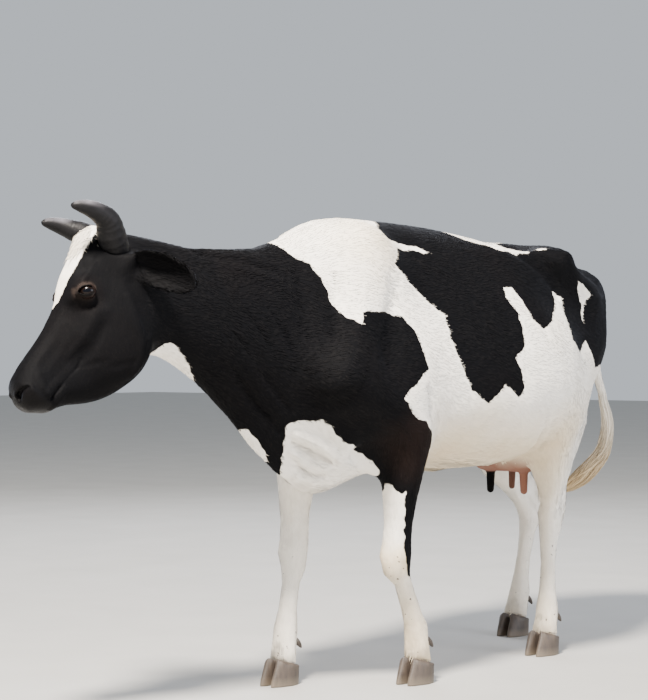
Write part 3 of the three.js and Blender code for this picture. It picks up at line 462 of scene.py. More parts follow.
# Forms under the skin: name, points, width, height, all in mm. Those of the body are on both sides.
BODY_FORMS = [
    # shoulder blade's ridge, and the hollows before and behind it
    ([[60, -70, 1352], [120, -120, 1270], [168, -180, 1160], [200, -225, 1030]], [26, 30, 30, 26], [4, 6, 7, 6]),
    ([[110, -205, 1290], [150, -262, 1180], [185, -312, 1060]], [36, 42, 38], [-4, -7, -6]),
    ([[120, -10, 1330], [200, -60, 1200], [228, -95, 1060], [235, -120, 960]], [40, 50, 50, 36], [-3, -7, -8, -6]),
    # point of the shoulder and the arm below it
    ([[195, -300, 1000], [205, -318, 920], [196, -270, 850]], [34, 40, 40], [5, 9, 5]),
    ([[228, -215, 960], [232, -250, 905], [215, -262, 850]], [16, 18, 16], [-5, -8, -5]),
    ([[225, -180, 900], [238, -80, 850], [238, 10, 800]], [40, 46, 40], [4, 7, 5]),
    ([[262, 28, 900], [262, 48, 820], [250, 62, 770]], [22, 22, 20], [-5, -8, -6]),
    # hook, pin and the line between
    ([[246, 772, 1300], [236, 800, 1290]], [36, 32], [8, 5]),
    ([[232, 830, 1280], [190, 960, 1270], [140, 1120, 1240], [104, 1220, 1212]], [30, 30, 30, 30], [3, 3, 3, 7]),
    ([[180, 640, 1346], [214, 700, 1330], [240, 752, 1312]], [22, 24, 24], [3, 5, 6]),
    ([[215, 560, 1322], [232, 640, 1300], [246, 715, 1262], [268, 770, 1200]], [40, 48, 52, 44], [-4, -10, -14, -8]),
    ([[215, 900, 1215], [185, 1010, 1190], [150, 1120, 1160]], [50, 55, 45], [-7, -8, -5]),
    # loin: the ends of the short ribs
    ([[176, 470, 1345], [200, 560, 1336], [212, 640, 1326]], [24, 26, 24], [4, 5, 4]),
    # flank fold, thigh edge and stifle
    ([[322, 770, 960], [300, 800, 880], [262, 800, 800], [222, 770, 740]], [20, 24, 26, 24], [5, 9, 10, 7]),
    ([[300, 850, 960], [262, 850, 860], [228, 838, 780]], [26, 30, 26], [-5, -9, -6]),
    ([[212, 1010, 1060], [206, 1040, 960], [190, 1050, 860], [168, 1000, 760]], [30, 34, 34, 28], [-3, -6, -6, -4]),
    # milk vein and navel fold
    ([[150, 250, 668], [165, 380, 655], [150, 520, 652], [130, 660, 672]], [14, 16, 16, 14], [4, 6, 6, 4]),
    ([[0, 330, 632], [0, 420, 628], [0, 520, 640]], [26, 30, 26], [2, 4, 2]),
    # folds of skin on the neck, low on its side
    ([[70, -700, 1120], [84, -610, 1050], [78, -520, 960], [60, -440, 880]], [14, 16, 16, 14], [-2, -4, -4, -3]),
    ([[80, -640, 1170], [96, -550, 1090], [100, -470, 990], [90, -400, 900]], [15, 17, 17, 14], [-2, -4, -4, -3]),
    ([[88, -560, 1190], [112, -480, 1110], [120, -420, 1010], [112, -360, 920]], [16, 18, 18, 15], [-2, -4, -5, -3]),
    ([[30, -560, 1250], [70, -450, 1200], [100, -370, 1140]], [34, 38, 34], [3, 4, 3]),
    # rim of the shoulder's point, and the hollow behind and under it
    ([[207, -201, 1114], [228, -262, 1034], [245, -316, 963], [237, -335, 925], [200, -352, 900], [150, -380, 910]],
     [28, 28, 28, 28, 28, 24], [2, 3.5, 4.5, 5, 4.5, 2]),
    ([[246, -150, 1080], [262, -235, 985], [268, -270, 905], [240, -300, 862], [190, -325, 846], [140, -345, 850]],
     [30, 32, 34, 34, 32, 26], [-3, -4, -6, -7, -5, -3]),
    ([[89, -364, 1238], [112, -378, 1175], [130, -382, 1104], [140, -381, 1033]], [30, 34, 34, 30], [-3, -5, -6, -4]),
    # crease between the belly and the thigh
    ([[345, 560, 880], [330, 575, 810], [290, 612, 740], [235, 655, 700], [190, 700, 672]], [22, 26, 26, 24, 20],
     [-4, -8, -11, -9, -5]),
    # groove under the crest of the neck
    ([[-10, -690, 1277], [24, -613, 1262], [48, -516, 1248], [79, -431, 1225]], [20, 24, 26, 24], [-3, -5, -6, -4]),
    # loose folds of the brisket and the dewlap
    ([[81, -354, 766], [93, -296, 747], [117, -245, 711], [111, -143, 666]], [20, 24, 24, 20], [6, 10, 10, 4]),
    ([[66, -345, 738], [75, -278, 708], [108, -232, 682]], [16, 18, 16], [-6, -10, -6]),
    ([[51, -337, 713], [56, -260, 675], [100, -224, 658]], [18, 22, 18], [6, 9, 6]),
    ([[40, -300, 670], [42, -245, 648], [80, -215, 634]], [15, 17, 15], [-5, -8, -5]),
    ([[28, -272, 634], [55, -224, 615]], [20, 20], [4, 5]),
    ([[89, -511, 944], [96, -451, 884], [96, -399, 830]], [16, 18, 16], [-3, -5, -3]),
    ([[64, -584, 944], [54, -514, 865], [64, -440, 808]], [16, 18, 16], [-3, -5, -3]),
    # grooves beside the dewlap
    ([[46, -600, 960], [52, -500, 860], [60, -410, 780]], [22, 26, 24], [-4, -6, -5]),
]
RELIEF = 1.5  # the hide hangs closer to these forms than a fat cow's
RIBS = [(150 + 62 * i, 1180 - 8 * i) for i in range(8)]


def body_forms(places, normals):
    for points, sizes, heights in BODY_FORMS:
        for side in SIDES.values():
            stroke(places, normals, body(mirrored(points, side)), sizes, RELIEF * np.array(heights))
    for y, top in RIBS:
        for side in SIDES.values():
            x = 270 + 70 * min((y - 150) / 400, 1)
            line = [[x - 40, y - 40, top + 60], [x, y, top - 60], [x + 8, y + 24, top - 190], [x - 6, y + 30, top - 300]]
            stroke(places, normals, body(mirrored(line, side)), [20, 24, 24, 18], [0.5, 3.2, 3.0, 0.5])


def leg_forms(places, normals):
    """Tendons, knee, hock and fetlock on each lower leg."""
    fore = {1: ((150, 132, 150), (163, 12, 388), (182, 30, 740)), -1: ((150, -132, 150), (158, -78, 388), (182, -25, 740))}
    hind = {1: ((149, 864, 148), (144, 886, 440), (212, 800, 800)),
            -1: ((163, 1172, 148), (150, 1222, 432), (205, 880, 790))}
    for legs, is_fore in ((fore, True), (hind, False)):
        for side, joints in legs.items():
            fetlock, middle, high = (np.array(j, float) * (side, 1, 1) for j in joints)
            down = fetlock - middle
            for across in (-26, 26):
                groove = [middle + down * t + (across, 20 if is_fore else 16, 0) for t in (0.18, 0.5, 0.8)]
                stroke(places, normals, body(groove), [11, 12, 11], [-2.5, -4, -3])
            cord = [middle + down * t + (0, 34 if is_fore else 40, 0) for t in (0.2, 0.5, 0.85)]
            stroke(places, normals, body(cord), [16, 15, 16], [2, 3, 2])
            front = [middle + down * t + (0, -27, 0) for t in (0.2, 0.5, 0.8)]
            stroke(places, normals, body(front), [15, 14, 15], [1.5, 2, 1.5])
            if is_fore:
                stroke(places, normals, body([middle + (0, -42, 18), middle + (0, -42, -8)]), [30, 28], [3, 3])
                stroke(places, normals, body([middle + (-34, -14, -34), middle + (34, -14, -34)]), [12, 12], [-2.5, -2.5])
                up = high - middle
                muscle = [middle + up * t + (26 * side, -20, 0) for t in (0.3, 0.55, 0.8)]
                stroke(places, normals, body(muscle), [26, 34, 34], [2, 4, 4])
                split = [middle + up * t + (44 * side, 14, 0) for t in (0.15, 0.4, 0.65)]
                stroke(places, normals, body(split), [14, 16, 16], [-3, -4, -3])
            else:
                point = middle + (0, 52, 62)
                stroke(places, normals, body([point, point + (0, -4, 20)]), [20, 18], [5, 3])
                for across in (-30, 30):
                    hollow = [middle + (across, 22, 40), middle + (across * 0.95, 34, 90), middle + (across, 44, 140)]
                    stroke(places, normals, body(hollow), [18, 20, 18], [-4, -7, -4])
                cable = [middle + (0, 56, 90), middle + (4 * side, 34, 170), middle + (10 * side, 0, 250)]
                stroke(places, normals, body(cable), [14, 15, 16], [4, 4, 2])


# Forms of the head, the same on both sides: points [s, l, n], width, height.
HEAD_FORMS = [
    ([[172, 84, -76], [215, 76, -86], [262, 66, -90], [305, 58, -84]], [18, 17, 16, 14], [2.2, 3, 2.6, 1.5]),  # facial crest
    ([[196, 86, -112], [240, 78, -122], [290, 68, -118]], [20, 22, 20], [-1.5, -3, -2]),
    ([[60, 70, -2], [95, 80, -4], [130, 84, -4], [168, 80, -12]], [17, 18, 17, 15], [3, 5, 5, 2]),  # brow
    ([[40, 98, -48], [70, 102, -56], [100, 99, -58]], [22, 26, 20], [-4, -6, -4]),  # temple
    ([[90, 96, -130], [150, 98, -200], [200, 84, -248], [250, 70, -262]], [20, 22, 20, 20], [2, 5, 5, 3]),  # jaw
    ([[60, 92, -120], [96, 96, -176], [130, 92, -232]], [26, 26, 24], [-3, -5, -4]),
    ([[210, 44, 0], [270, 38, 6], [330, 34, 5], [390, 32, -2]], [16, 15, 14, 14], [2, 2.5, 2.5, 2]),  # edge of the nose
    ([[250, 58, -40], [310, 54, -46], [360, 52, -44]], [22, 24, 22], [-2, -3.2, -2.5]),
    ([[392, 62, -46], [410, 66, -70], [420, 62, -98]], [16, 18, 14], [2, 4, 3]),  # whisker pad
    ([[385, 52, -124], [415, 48, -130], [440, 30, -126]], [18, 18, 16], [3, 4, 3]),  # lower lip
    ([[330, 64, -104], [380, 62, -96], [420, 62, -90]], [18, 18, 16], [2, 3, 3]),  # upper lip's edge
    ([[200, 92, -60], [225, 84, -52], [250, 72, -46]], [12, 12, 11], [-1.5, -2.5, -2]),
    ([[120, 95, -62], [150, 100, -70], [180, 96, -62]], [10, 11, 10], [-1.5, -3, -2]),  # fold under the eye
    ([[80, 70, 10], [60, 55, 6], [30, 50, -4]], [16, 18, 16], [2, 3, 2]),
    ([[280, 74, -170], [255, 84, -206], [225, 88, -232]], [14, 16, 15], [-1.2, -2, -1.4]),  # cheek folds
    ([[310, 70, -128], [285, 80, -150], [262, 88, -176]], [13, 14, 13], [-1.6, -2.2, -1]),
]
MOUTH = ([[463, 0, -92], [456, 22, -96], [440, 42, -103], [415, 58, -108], [385, 60, -111], [350, 62, -114],
          [318, 64, -120], [296, 66, -116]], [8, 8, 8, 8, 8, 8, 9, 9], [-5, -7, -8, -8, -8, -8, -8, -4])
NOSTRIL = ([[466, 24, -48], [468, 32, -34], [462, 44, -26], [450, 54, -28], [438, 60, -36]],
           [9, 14, 16, 13, 8], [-8, -20, -24, -16, -6])
NOSTRIL_RIM = ([[458, 14, -44], [466, 26, -18], [456, 44, -6], [440, 58, -14], [426, 64, -32], [438, 62, -54],
                [456, 44, -58]], [11, 12, 13, 12, 10, 10, 10], [3, 5, 6, 5, 3, 3, 3])


def head_forms(places, normals):
    for points, sizes, heights in (*HEAD_FORMS, MOUTH, NOSTRIL_RIM):
        for side in SIDES.values():
            stroke(places, normals, skull(np.array(points) * (1, side, 1)), sizes, heights)
    for side in SIDES.values():
        inwards = np.array((-0.75, -0.62 * side, -0.2)) @ HEAD
        points, sizes, heights = NOSTRIL
        stroke(places, normals, skull(np.array(points) * (1, side, 1)), sizes, -np.array(heights), inwards)


# The eye: half sizes of the ball and of the dome of the lids, in mm, along the slit, across it and outwards.
BALL = (23.0, 20.5, 20.0)
LID_DOME = (33.0, 27.5, 23.0)
SLIT = (25.0, 12.5, 9.5)  # half length, height above and below its line


def eye_axes(side):
    """Along the slit to the front corner, up across it, and outwards."""
    out = unit(np.array((0.16, 0.93 * side, 0.34)) @ HEAD)
    front = np.array((-0.80 if side > 0 else 0.24, -0.62 if side > 0 else -0.95, -0.16))
    front = unit(front - out * (front @ out))
    up = np.cross(out, front) * side
    return np.array((front, up * (1 if up[2] > 0 else -1), out))


def slit_edges(x):
    bow = np.clip(1 - (x / SLIT[0]) ** 2, 0, 1)
    return SLIT[1] * bow ** 0.8, -SLIT[2] * bow ** 0.95


def lids(places, side):
    """Draws the skin over the eyeball as two lids, and sinks it behind the ball inside the slit."""
    centre, axes = skull(np.array(EYE) * (1, side, 1)), eye_axes(side)
    near = np.flatnonzero(np.linalg.norm(places - centre, axis=1) < 0.058)
    x, y, z = ((places[near] - centre) @ axes.T * 1000).T
    facing = z > 2

    def dome(sizes):
        return sizes[2] * np.sqrt(np.clip(1 - (x / sizes[0]) ** 2 - (y / sizes[1]) ** 2, 0, 1))

    above, below = slit_edges(x)
    gap = np.maximum(np.maximum(y - above, below - y), (np.abs(x) - SLIT[0]))
    ball = dome(BALL)
    fade = 1 - ramp(np.hypot(x / 1.15, y), 26, 44)
    y = np.where(y < 0, 0.7 * y, y)
    over = np.maximum(dome(LID_DOME) * (1 - 0.4 * ramp(-y, 0, 13)), np.where(ball > 0, ball + 1.5, 0))
    softened = 6.0
    h = np.maximum(softened - np.abs(z - over), 0) / softened
    skin = np.maximum(z * 0 + over, z - 3.5) + h * h * softened / 4
    rim = np.exp(-((gap - 1.8) / 1.6) ** 2) * 1.1
    crease = -1.7 * np.exp(-((gap - 7.5) / 1.5) ** 2) - 1.3 * np.exp(-((gap - 13.5) / 1.7) ** 2) * ramp(y, -14, 4)
    crease += 1.1 * np.exp(-((gap - 10.4) / 1.8) ** 2)
    outside = skin + rim + crease * ramp(gap, 3, 6)
    sunk = ball - 5.5
    inside = 1 - ramp(gap, -1.1, 0.5)
    target = outside * (1 - inside) + sunk * inside
    shift = (target - z) * np.maximum(fade, inside) * facing
    places[near] += shift[:, None] * axes[2] / 1000


TEAT_ENDS = (((66, 852, 612), (67, 852, 536), 14.5), ((56, 968, 616), (57, 968, 541), 12.5))  # mm: ends, radius


def round_teats(places):
    """Fills the teats out to even, blunt-ended rods."""
    for side in SIDES.values():
        for top, end, radius in TEAT_ENDS:
            a, b = body(mirrored([top, end], side))
            t = np.clip((places - a) @ (b - a) / ((b - a) @ (b - a)), 0, 1)[:, None]
            core = a + t * (b - a)
            away = places - core
            near = (np.linalg.norm(away, axis=1) < 0.030) & (places[:, 2] < a[2] - 0.012)
            share = ramp(a[2] - places[:, 2], 0.012, 0.034)[:, None] * near[:, None]
            places += share * (core + unit(away) * radius * (1.08 - 0.26 * t) / 1000 - places)


def model_skin(skin):
    """Forms under the hide, in order from the broad to the fine."""
    mesh = skin.data
    places = places_of(mesh)
    body_forms(places, normals_of(mesh))
    leg_forms(places, normals_of(mesh))
    round_teats(places)
    place(mesh, places)
    refine(skin, skull((230, 0, -80)), 0.33)
    for side in SIDES.values():
        refine(skin, skull(np.array(EYE) * (1, side, 1)), 0.05)
        refine(skin, skull((440, 42 * side, -40)), 0.045)
    places = places_of(mesh)
    head_forms(places, normals_of(mesh))
    for side in SIDES.values():
        lids(places, side)
    place(mesh, places)


def lighten(skin, most=186000):
    """Fewer faces where the hide is plain, none lost on the head."""
    alone(skin)
    modify(skin, "TRIANGULATE")
    mesh = skin.data
    head = in_skull(places_of(mesh))
    keep = 1 - ramp(np.linalg.norm(head - (230, 0, -90), axis=1), 260, 360)
    for side in SIDES.values():
        fine = 1 - ramp(np.linalg.norm(head - np.array(EYE) * (1, side, 1), axis=1), 40, 60)
        keep = np.maximum(keep * 0.75, fine)
    places = places_of(mesh)
    border = 1 - ramp(np.abs(signed_black(places)), 0.008, 0.02)
    keep = np.maximum(keep, 0.7 * border)
    for side in SIDES.values():
        for top, end, _ in TEAT_ENDS:
            reach, _ = path_distance(places, body(mirrored([top, end], side)), [[0.026], [0.026]])
            keep = np.maximum(keep, 0.85 * (reach < 1))
    group = skin.vertex_groups.new(name="plain")
    levels = np.round((1 - keep) * 8).astype(int)
    for level in range(9):
        chosen = np.flatnonzero(levels == level)
        if len(chosen):
            group.add(chosen.tolist(), 0.12 + 0.88 * level / 8, "REPLACE")
    modify(skin, "DECIMATE", ratio=most / len(mesh.polygons), vertex_group=group.name, vertex_group_factor=1.0)
    skin.vertex_groups.clear()
    mesh.polygons.foreach_set("use_smooth", np.ones(len(mesh.polygons), bool))
    mesh.update()


# ------------------------------------------------------------------------------------------------ markings
# Outlines of the black patches as [y, z] in mm, seen from each side.
LEFT_FRONT = [
    [-385, 1600], [-381, 1315], [-358, 1276], [-317, 1254], [-298, 1211], [-274, 1135], [-255, 1098], [-219, 1083],
    [-203, 1113], [-152, 1121], [-47, 1108], [-2, 1062], [17, 994], [35, 954], [-26, 909], [-91, 868], [-51, 818],
    [15, 794], [60, 750], [95, 600], [75, 320], [23, 338], [1, 400], [-6, 474], [-9, 534], [-13, 572], [-11, 604],
    [-22, 582], [-32, 594], [-65, 652], [-119, 700], [-177, 723], [-229, 744], [-302, 805], [-398, 801], [-365, 719], [-329, 639],
    [-400, 560], [-1500, 560], [-1500, 1600],
]
LEFT_SADDLE = [
    [90, 1600], [87, 1396], [-52, 1347], [62, 1326], [146, 1318], [184, 1299], [117, 1305], [26, 1308], [-29, 1262],
    [29, 1202], [78, 1164], [143, 1110], [153, 1040], [190, 953], [228, 882], [291, 845], [327, 865], [351, 905],
    [380, 880], [414, 860], [434, 892], [419, 952], [400, 981], [446, 1017], [451, 1065], [445, 1122], [420, 1170],
    [425, 1204], [464, 1200], [487, 1155], [506, 1099], [550, 1075], [602, 1088], [729, 1153], [745, 1200],
    [787, 1179], [758, 1103], [740, 1040], [803, 996], [888, 1039], [927, 983], [943, 950], [1050, 955],
    [1150, 965], [1230, 1000], [1320, 1100], [1320, 1500], [1100, 1600],
]
LEFT_SLIVER = [[865, 1241], [967, 1192], [935, 1174], [902, 1095], [909, 1156], [876, 1207]]
LEFT_LOIN = [
    [420, 1600], [432, 1353], [460, 1340], [488, 1325], [585, 1312], [660, 1318], [712, 1330], [745, 1341], [760, 1600],
]
RIGHT_FRONT = [
    [-385, 1600], [-381, 1315], [-345, 1270], [-300, 1200], [-235, 1120], [-180, 1040], [-165, 960], [-205, 880],
    [-250, 810], [-300, 745], [-350, 719], [-329, 639], [-400, 560], [-1500, 560], [-1500, 1600],
]
RIGHT_SADDLE = [
    [90, 1600], [87, 1396], [30, 1360], [-15, 1310], [15, 1240], [65, 1165], [105, 1090], [180, 1010], [275, 965],
    [345, 925], [410, 955], [455, 1030], [430, 1115], [475, 1180], [560, 1175], [640, 1225], [690, 1280],
    [640, 1370], [430, 1400], [430, 1600],
]
RIGHT_RUMP = [
    [880, 1400], [850, 1300], [900, 1230], [955, 1150], [940, 1070], [1000, 1010], [1085, 1045], [1150, 1010],
    [1230, 1080], [1320, 1180], [1320, 1400],
]
# White along the back, under the chest and belly, at the throat and breast; black at the tail head: path, radius.
WHITE_PATHS = [
    ([[-75, 440, 1388], [-80, 700, 1372], [-60, 900, 1362], [-40, 1010, 1352]], [70, 92, 84, 50]),
    ([[0, -190, 585], [0, -60, 625], [0, 120, 615], [0, 600, 600]], [95, 100, 110, 140]),
    ([[-52, -835, 1008], [-32, -782, 1004], [-34, -730, 962], [-44, -678, 924]], [30, 46, 36, 20]),
    ([[0, -492, 762], [0, -455, 722], [0, -415, 688]], [22, 30, 24]),
    ([[16, 1392, 1060], [30, 1440, 860], [30, 1470, 700]], [70, 70, 110]),
]
BLAZE = [[-46, -24], [-46, 24], [-20, 32], [20, 41], [64, 43], [110, 41], [146, 35], [180, 21], [206, 5], [212, -2],
         [190, -10], [150, -21], [110, -29], [60, -33], [0, -33]]


def signed_black(places):
    """How far inside a black patch each place is, in metres; below 0 in the white."""
    mm = (places - (0, FORE_FEET, 0)) * 1000
    side_view = mm[:, 1:]
    left = np.maximum(inside_by(side_view, LEFT_FRONT), inside_by(side_view, LEFT_SADDLE))
    for white in (LEFT_SLIVER, LEFT_LOIN):
        left = np.minimum(left, -inside_by(side_view, white))
    right = np.maximum(inside_by(side_view, RIGHT_FRONT), inside_by(side_view, RIGHT_SADDLE))
    right = np.maximum(right, inside_by(side_view, RIGHT_RUMP))
    across = ramp(mm[:, 0], -8, 8)
    black = left * across + right * (1 - across)
    for points, sizes in WHITE_PATHS:
        share, values = path_distance(mm, points, np.array(sizes, float)[:, None])
        black = np.minimum(black, (share - 1) * values[:, 0])
    x, y, z = mm.T
    black += 2.0 * np.sin(0.083 * y + 0.04 * z + 0.02 * x) + 1.3 * np.sin(0.137 * z - 0.061 * y)
    black += 1.0 * np.sin(0.29 * y + 0.21 * z + 0.05 * x)
    head = in_skull(places)
    on_head = (head[:, 0] > -70) & (np.abs(head[:, 1]) < 170) & (mm[:, 1] < -850)
    black = np.where(on_head, np.maximum(black, 30), black)
    blaze = inside_by(head[:, :2], BLAZE)
    black = np.where(on_head & (head[:, 2] > -75), np.minimum(black, -blaze), black)
    return black / 1000


def paint_hide(mesh, places, normals, tone=None):
    """The numbers that the hide's finish reads at each vertex."""
    mm = (places - (0, FORE_FEET, 0)) * 1000
    head = in_skull(places)
    eyes = np.minimum(*(np.linalg.norm(head - np.array(EYE) * (1, side, 1), axis=1) for side in (1, -1)))
    muzzle = ramp(head[:, 0], 425, 445) * (1 - ramp(np.linalg.norm(head - (452, 0, -60), axis=1), 72, 84))
    lid = np.zeros(len(places))
    low = np.linalg.norm((mm - (0, 905, 690)) / (150, 190, 185), axis=1)
    udder = (1 - ramp(low, 0.9, 1.08)) * ramp(-mm[:, 2], -790, -700)
    teat = ramp(-mm[:, 2], -612, -596) * (mm[:, 1] > 800) * (mm[:, 1] < 1030) * (np.abs(mm[:, 0]) < 100)
    # Painted shade: the right fore teat is darkened fully and the right hind teat half, as in the shade under the body.
    painted_teat_shade = 1 - ramp(np.linalg.norm((mm - (-66, 852, 550)) / (1, 1, 1.4), axis=1), 34, 46)
    painted_teat_shade += 0.5 - 0.5 * ramp(np.linalg.norm((mm - (-56, 968, 550)) / (1, 1, 1.4), axis=1), 34, 46)
    beige = np.zeros(len(places))
    for side in SIDES.values():
        centre, axes = skull(np.array(EYE) * (1, side, 1)), eye_axes(side)
        x, y, z = ((places - centre) @ axes.T * 1000).T
        above, below = slit_edges(x)
        gap = np.maximum(np.maximum(y - above, below - y), np.abs(x) - SLIT[0])
        close = (np.abs(z - 12) < 26) & (np.hypot(x, y) < 60)
        band = ramp(gap, 1.5, 5) * (1 - ramp(gap, 9, 20)) * (0.5 - 0.3 * ramp(-y, -4, 8))
        beige = np.where(close, np.maximum(beige, band), beige)
        lid = np.where(close, np.maximum(lid, 1 - ramp(gap, 1.5, 3.0)), lid)
    dusky = ((head[:, 0] > 380) | (eyes < 60)).astype(float)
    # Yellowing of the white hair: on the lower barrel a real stain together with a painted reflection of light from the
    # ground, strongest where the hide faces down; creamier at the withers and down the back of the hind legs; real
    # stains on the lower legs and the fore knees.
    stain = ramp(-mm[:, 2], -900, -690) * ramp(-normals[:, 2], -0.75, 0.3) * ramp(mm[:, 1], -50, 200)
    stain = 0.75 * stain * (1 - ramp(mm[:, 1], 760, 900)) + 0.25 * ramp(-mm[:, 2], -450, -60)
    stain += 0.55 * ramp(-np.hypot((mm[:, 1] + 90) / 190, (mm[:, 2] - 1310) / 120), -1, -0.2)
    stain += 0.9 * ramp(-mm[:, 2], -900, -560) * (mm[:, 1] > 1250)
    stain += 0.8 * (1 - ramp(np.linalg.norm((mm - (160, 0, 385)) / (90, 80, 75), axis=1), 0.5, 1))
    rust = 0.14 * (1 - ramp(eyes, 26, 66)) + 0.8 * (1 - ramp(np.linalg.norm((mm - (240, 0, 740)) / (120, 150, 170), axis=1), 0.3, 1))
    mud = ramp(-mm[:, 2], -420, -330) * 0.8 + (1 - ramp(np.linalg.norm((mm - (160, 0, 385)) / (80, 70, 60), axis=1), 0.4, 1))
    upright = np.maximum(ramp(-mm[:, 2], -760, -620) * (np.abs(mm[:, 0]) > 60), ramp(-mm[:, 1], 900, 960))
    paint(mesh, black=signed_black(places), bare=np.clip(np.maximum.reduce((muzzle, lid, udder, teat)), 0, 1),
          dusky=np.clip(np.maximum(dusky, painted_teat_shade), 0, 1), beige=beige, wet=np.clip(muzzle + 0.4 * lid, 0, 1),
          stain=np.clip(stain, 0, 1), rust=np.clip(rust, 0, 1), mud=np.clip(mud, 0, 1), upright=np.clip(upright, 0, 1),
          tone=np.zeros(len(places)) if tone is None else tone)



# ------------------------------------------------------------------------------------------------ coat
# part: tufts for each square metre, and a tuft's length, width and rise of its tip over the skin, in mm
COAT = {"trunk": (15500, 26, 4.4, 1.7), "neck": (17500, 24, 4.2, 1.7), "rump": (16500, 25, 4.2, 1.7),
        "upper": (19000, 19, 3.6, 1.5), "lower": (42000, 11, 2.3, 1.0), "head": (58000, 8, 1.7, 0.55),
        "ear": (44000, 10, 2.0, 0.8), "tail": (26000, 22, 3.0, 1.4), "udder": (9000, 9, 1.6, 0.5),
        "teat": (0, 5, 1.0, 0.4)}
# Where the hair is longer: place [x, y, z], reach in mm, times the length there.
LONG_HAIR = [((0, -210, 560), 150, 1.7), ((0, -420, 690), 90, 1.5), ((0, 400, 620), 130, 1.5),
             ((0, -640, 900), 120, 1.3), ((150, 165, 120), 60, 1.8), ((-150, -100, 120), 60, 1.8),
             ((150, 900, 120), 60, 1.8), ((-163, 1208, 120), 60, 1.8), ((0, 1300, 1240), 120, 1.3),
             ((150, 104, 84), 60, 2.4), ((-150, -174, 84), 60, 2.4), ((150, 812, 84), 60, 2.4),
             ((-165, 1116, 84), 60, 2.4)]
# The five corners of a tuft: share of its length, of half its width, of its rise, of its thickness, how far the light
# sees it lean ahead and aside; and its faces.
TUFT = np.array([[0, 0, -0.3, 0, -0.04, 0], [0.42, 1, 0.45, 0, 0, 0.22], [0.42, -1, 0.45, 0, 0, -0.22],
                 [0.42, 0, 0.45, 1, 0.02, 0], [1, 0, 1, 0, 0.10, 0]])
TUFT_FACES = np.array([[0, 3, 1], [0, 2, 3], [1, 3, 4], [3, 2, 4], [0, 1, 2], [1, 4, 2]])
TUFT_THICK = 0.0004
BAKE_PATCH = 0.003
CORONET = 0.13  # m, under which the hair may hang free of the skin
# piece: its parts, and the middle and direction of the line that its skin is unwrapped round
COATS = {
    "coat_head": (("head", "ear"), (0, 0, 0), "head"), "coat_neck": (("neck",), (0, -500, 1060), "long"),
    "coat_trunk_left": (("trunk",), (0, 0, 980), "long"), "coat_trunk_right": (("trunk",), (0, 0, 980), "long"),
    "coat_rump": (("rump", "tail", "udder"), (0, 0, 1050), "long"),
    "coat_legs_left": (("upper", "lower"), (150, 0, 0), "high"),
    "coat_legs_right": (("upper", "lower"), (-150, 0, 0), "high"),
}


def hair_way(places, parts):
    """The way the hair lies: back and down along the body, down the legs, and out from the whorl on the forehead."""
    mm = (places - (0, FORE_FEET, 0)) * 1000
    low = ramp(-mm[:, 2], -900, -620) * (parts != "trunk")
    way = np.column_stack((0.12 * np.sign(mm[:, 0]), 1 - 0.75 * low, -0.32 - 0.8 * low))
    leg = (parts == "upper") | (parts == "lower")
    way[leg] = np.column_stack((np.zeros(leg.sum()), 0.35 * ramp(mm[leg, 2], 300, 900), np.full(leg.sum(), -1.0)))
    way[parts == "tail"] = (0, 0.25, -1)
    s, l, n = in_skull(places).T
    face = np.column_stack((2 * ramp(s, 70, 150) - 1, 0.35 * np.sign(l) * (1 - ramp(s, 200, 320)),
                            -0.8 * ramp(-n, 50, 150)))
    way[parts == "head"] = (face @ HEAD)[parts == "head"]
    for side in SIDES.values():
        way[(parts == "ear") & (np.sign(l) == side)] = np.array((0.05, 0.75 * side, -0.62)) @ HEAD
    return way


def swirl(places):
    """A slow turn of the hair's way over the body, in radians, so that it lies in broad locks."""
    x, y, z = places.T
    return (0.16 * np.sin(21 * y + 13 * z) + 0.12 * np.sin(34 * z - 17 * y + 5 * x) + 0.10 * np.sin(55 * y + 41 * x))


class Roots:
    """Places scattered evenly over the skin, with what the skin has there."""

    def __init__(self, mesh, parts, dense, seed):
        random = np.random.default_rng(seed)
        places, normals, faces = places_of(mesh), normals_of(mesh), triangles_of(mesh)
        a, b, c = (places[faces[:, i]] for i in range(3))
        area = np.linalg.norm(np.cross(b - a, c - a), axis=1) / 2
        wanted = area * dense[faces].mean(axis=1)
        which = np.repeat(np.arange(len(faces)), np.floor(wanted + random.random(len(wanted))).astype(int))
        u, v = random.random(len(which)), random.random(len(which))
        u, v = np.where(u + v > 1, 1 - u, u), np.where(u + v > 1, 1 - v, v)
        self.faces, self.shares = faces[which], np.column_stack((1 - u - v, u, v))
        self.places = self.mean(places)
        self.normals = unit(self.mean(normals))
        self.parts = parts[self.faces[:, 0]]
        self.random = random

    def mean(self, values):
        """A value of the skin's vertices at each root."""
        shares = self.shares if values.ndim == 1 else self.shares[:, :, None]
        return (values[self.faces] * shares).sum(axis=1)


def unwrapped(places, middle, kind):
    """Where each root lies on the skin's own unwrap: round a line through the part, and along it."""
    if kind == "head":
        s, l, n = in_skull(places).T
        round_, along = np.arctan2(l, n + 110), s
    else:
        x, y, z = ((places - (0, FORE_FEET, 0)) * 1000 - middle).T
        round_, along = (np.arctan2(x, z), y) if kind == "long" else (np.arctan2(x, y % 500 - 250), z + 0.2 * y)
    along = (along - along.min()) / (np.ptp(along) + 1e-9)
    return 0.01 + 0.98 * np.column_stack((round_ / (2 * math.pi) + 0.5, along))


def on_skin(tree, points):
    """The nearest places of the skin, and which way it faces there."""
    found = [tree.find_nearest(point) for point in points.tolist()]
    return np.array([hit[0][:] for hit in found]), np.array([hit[1][:] for hit in found])


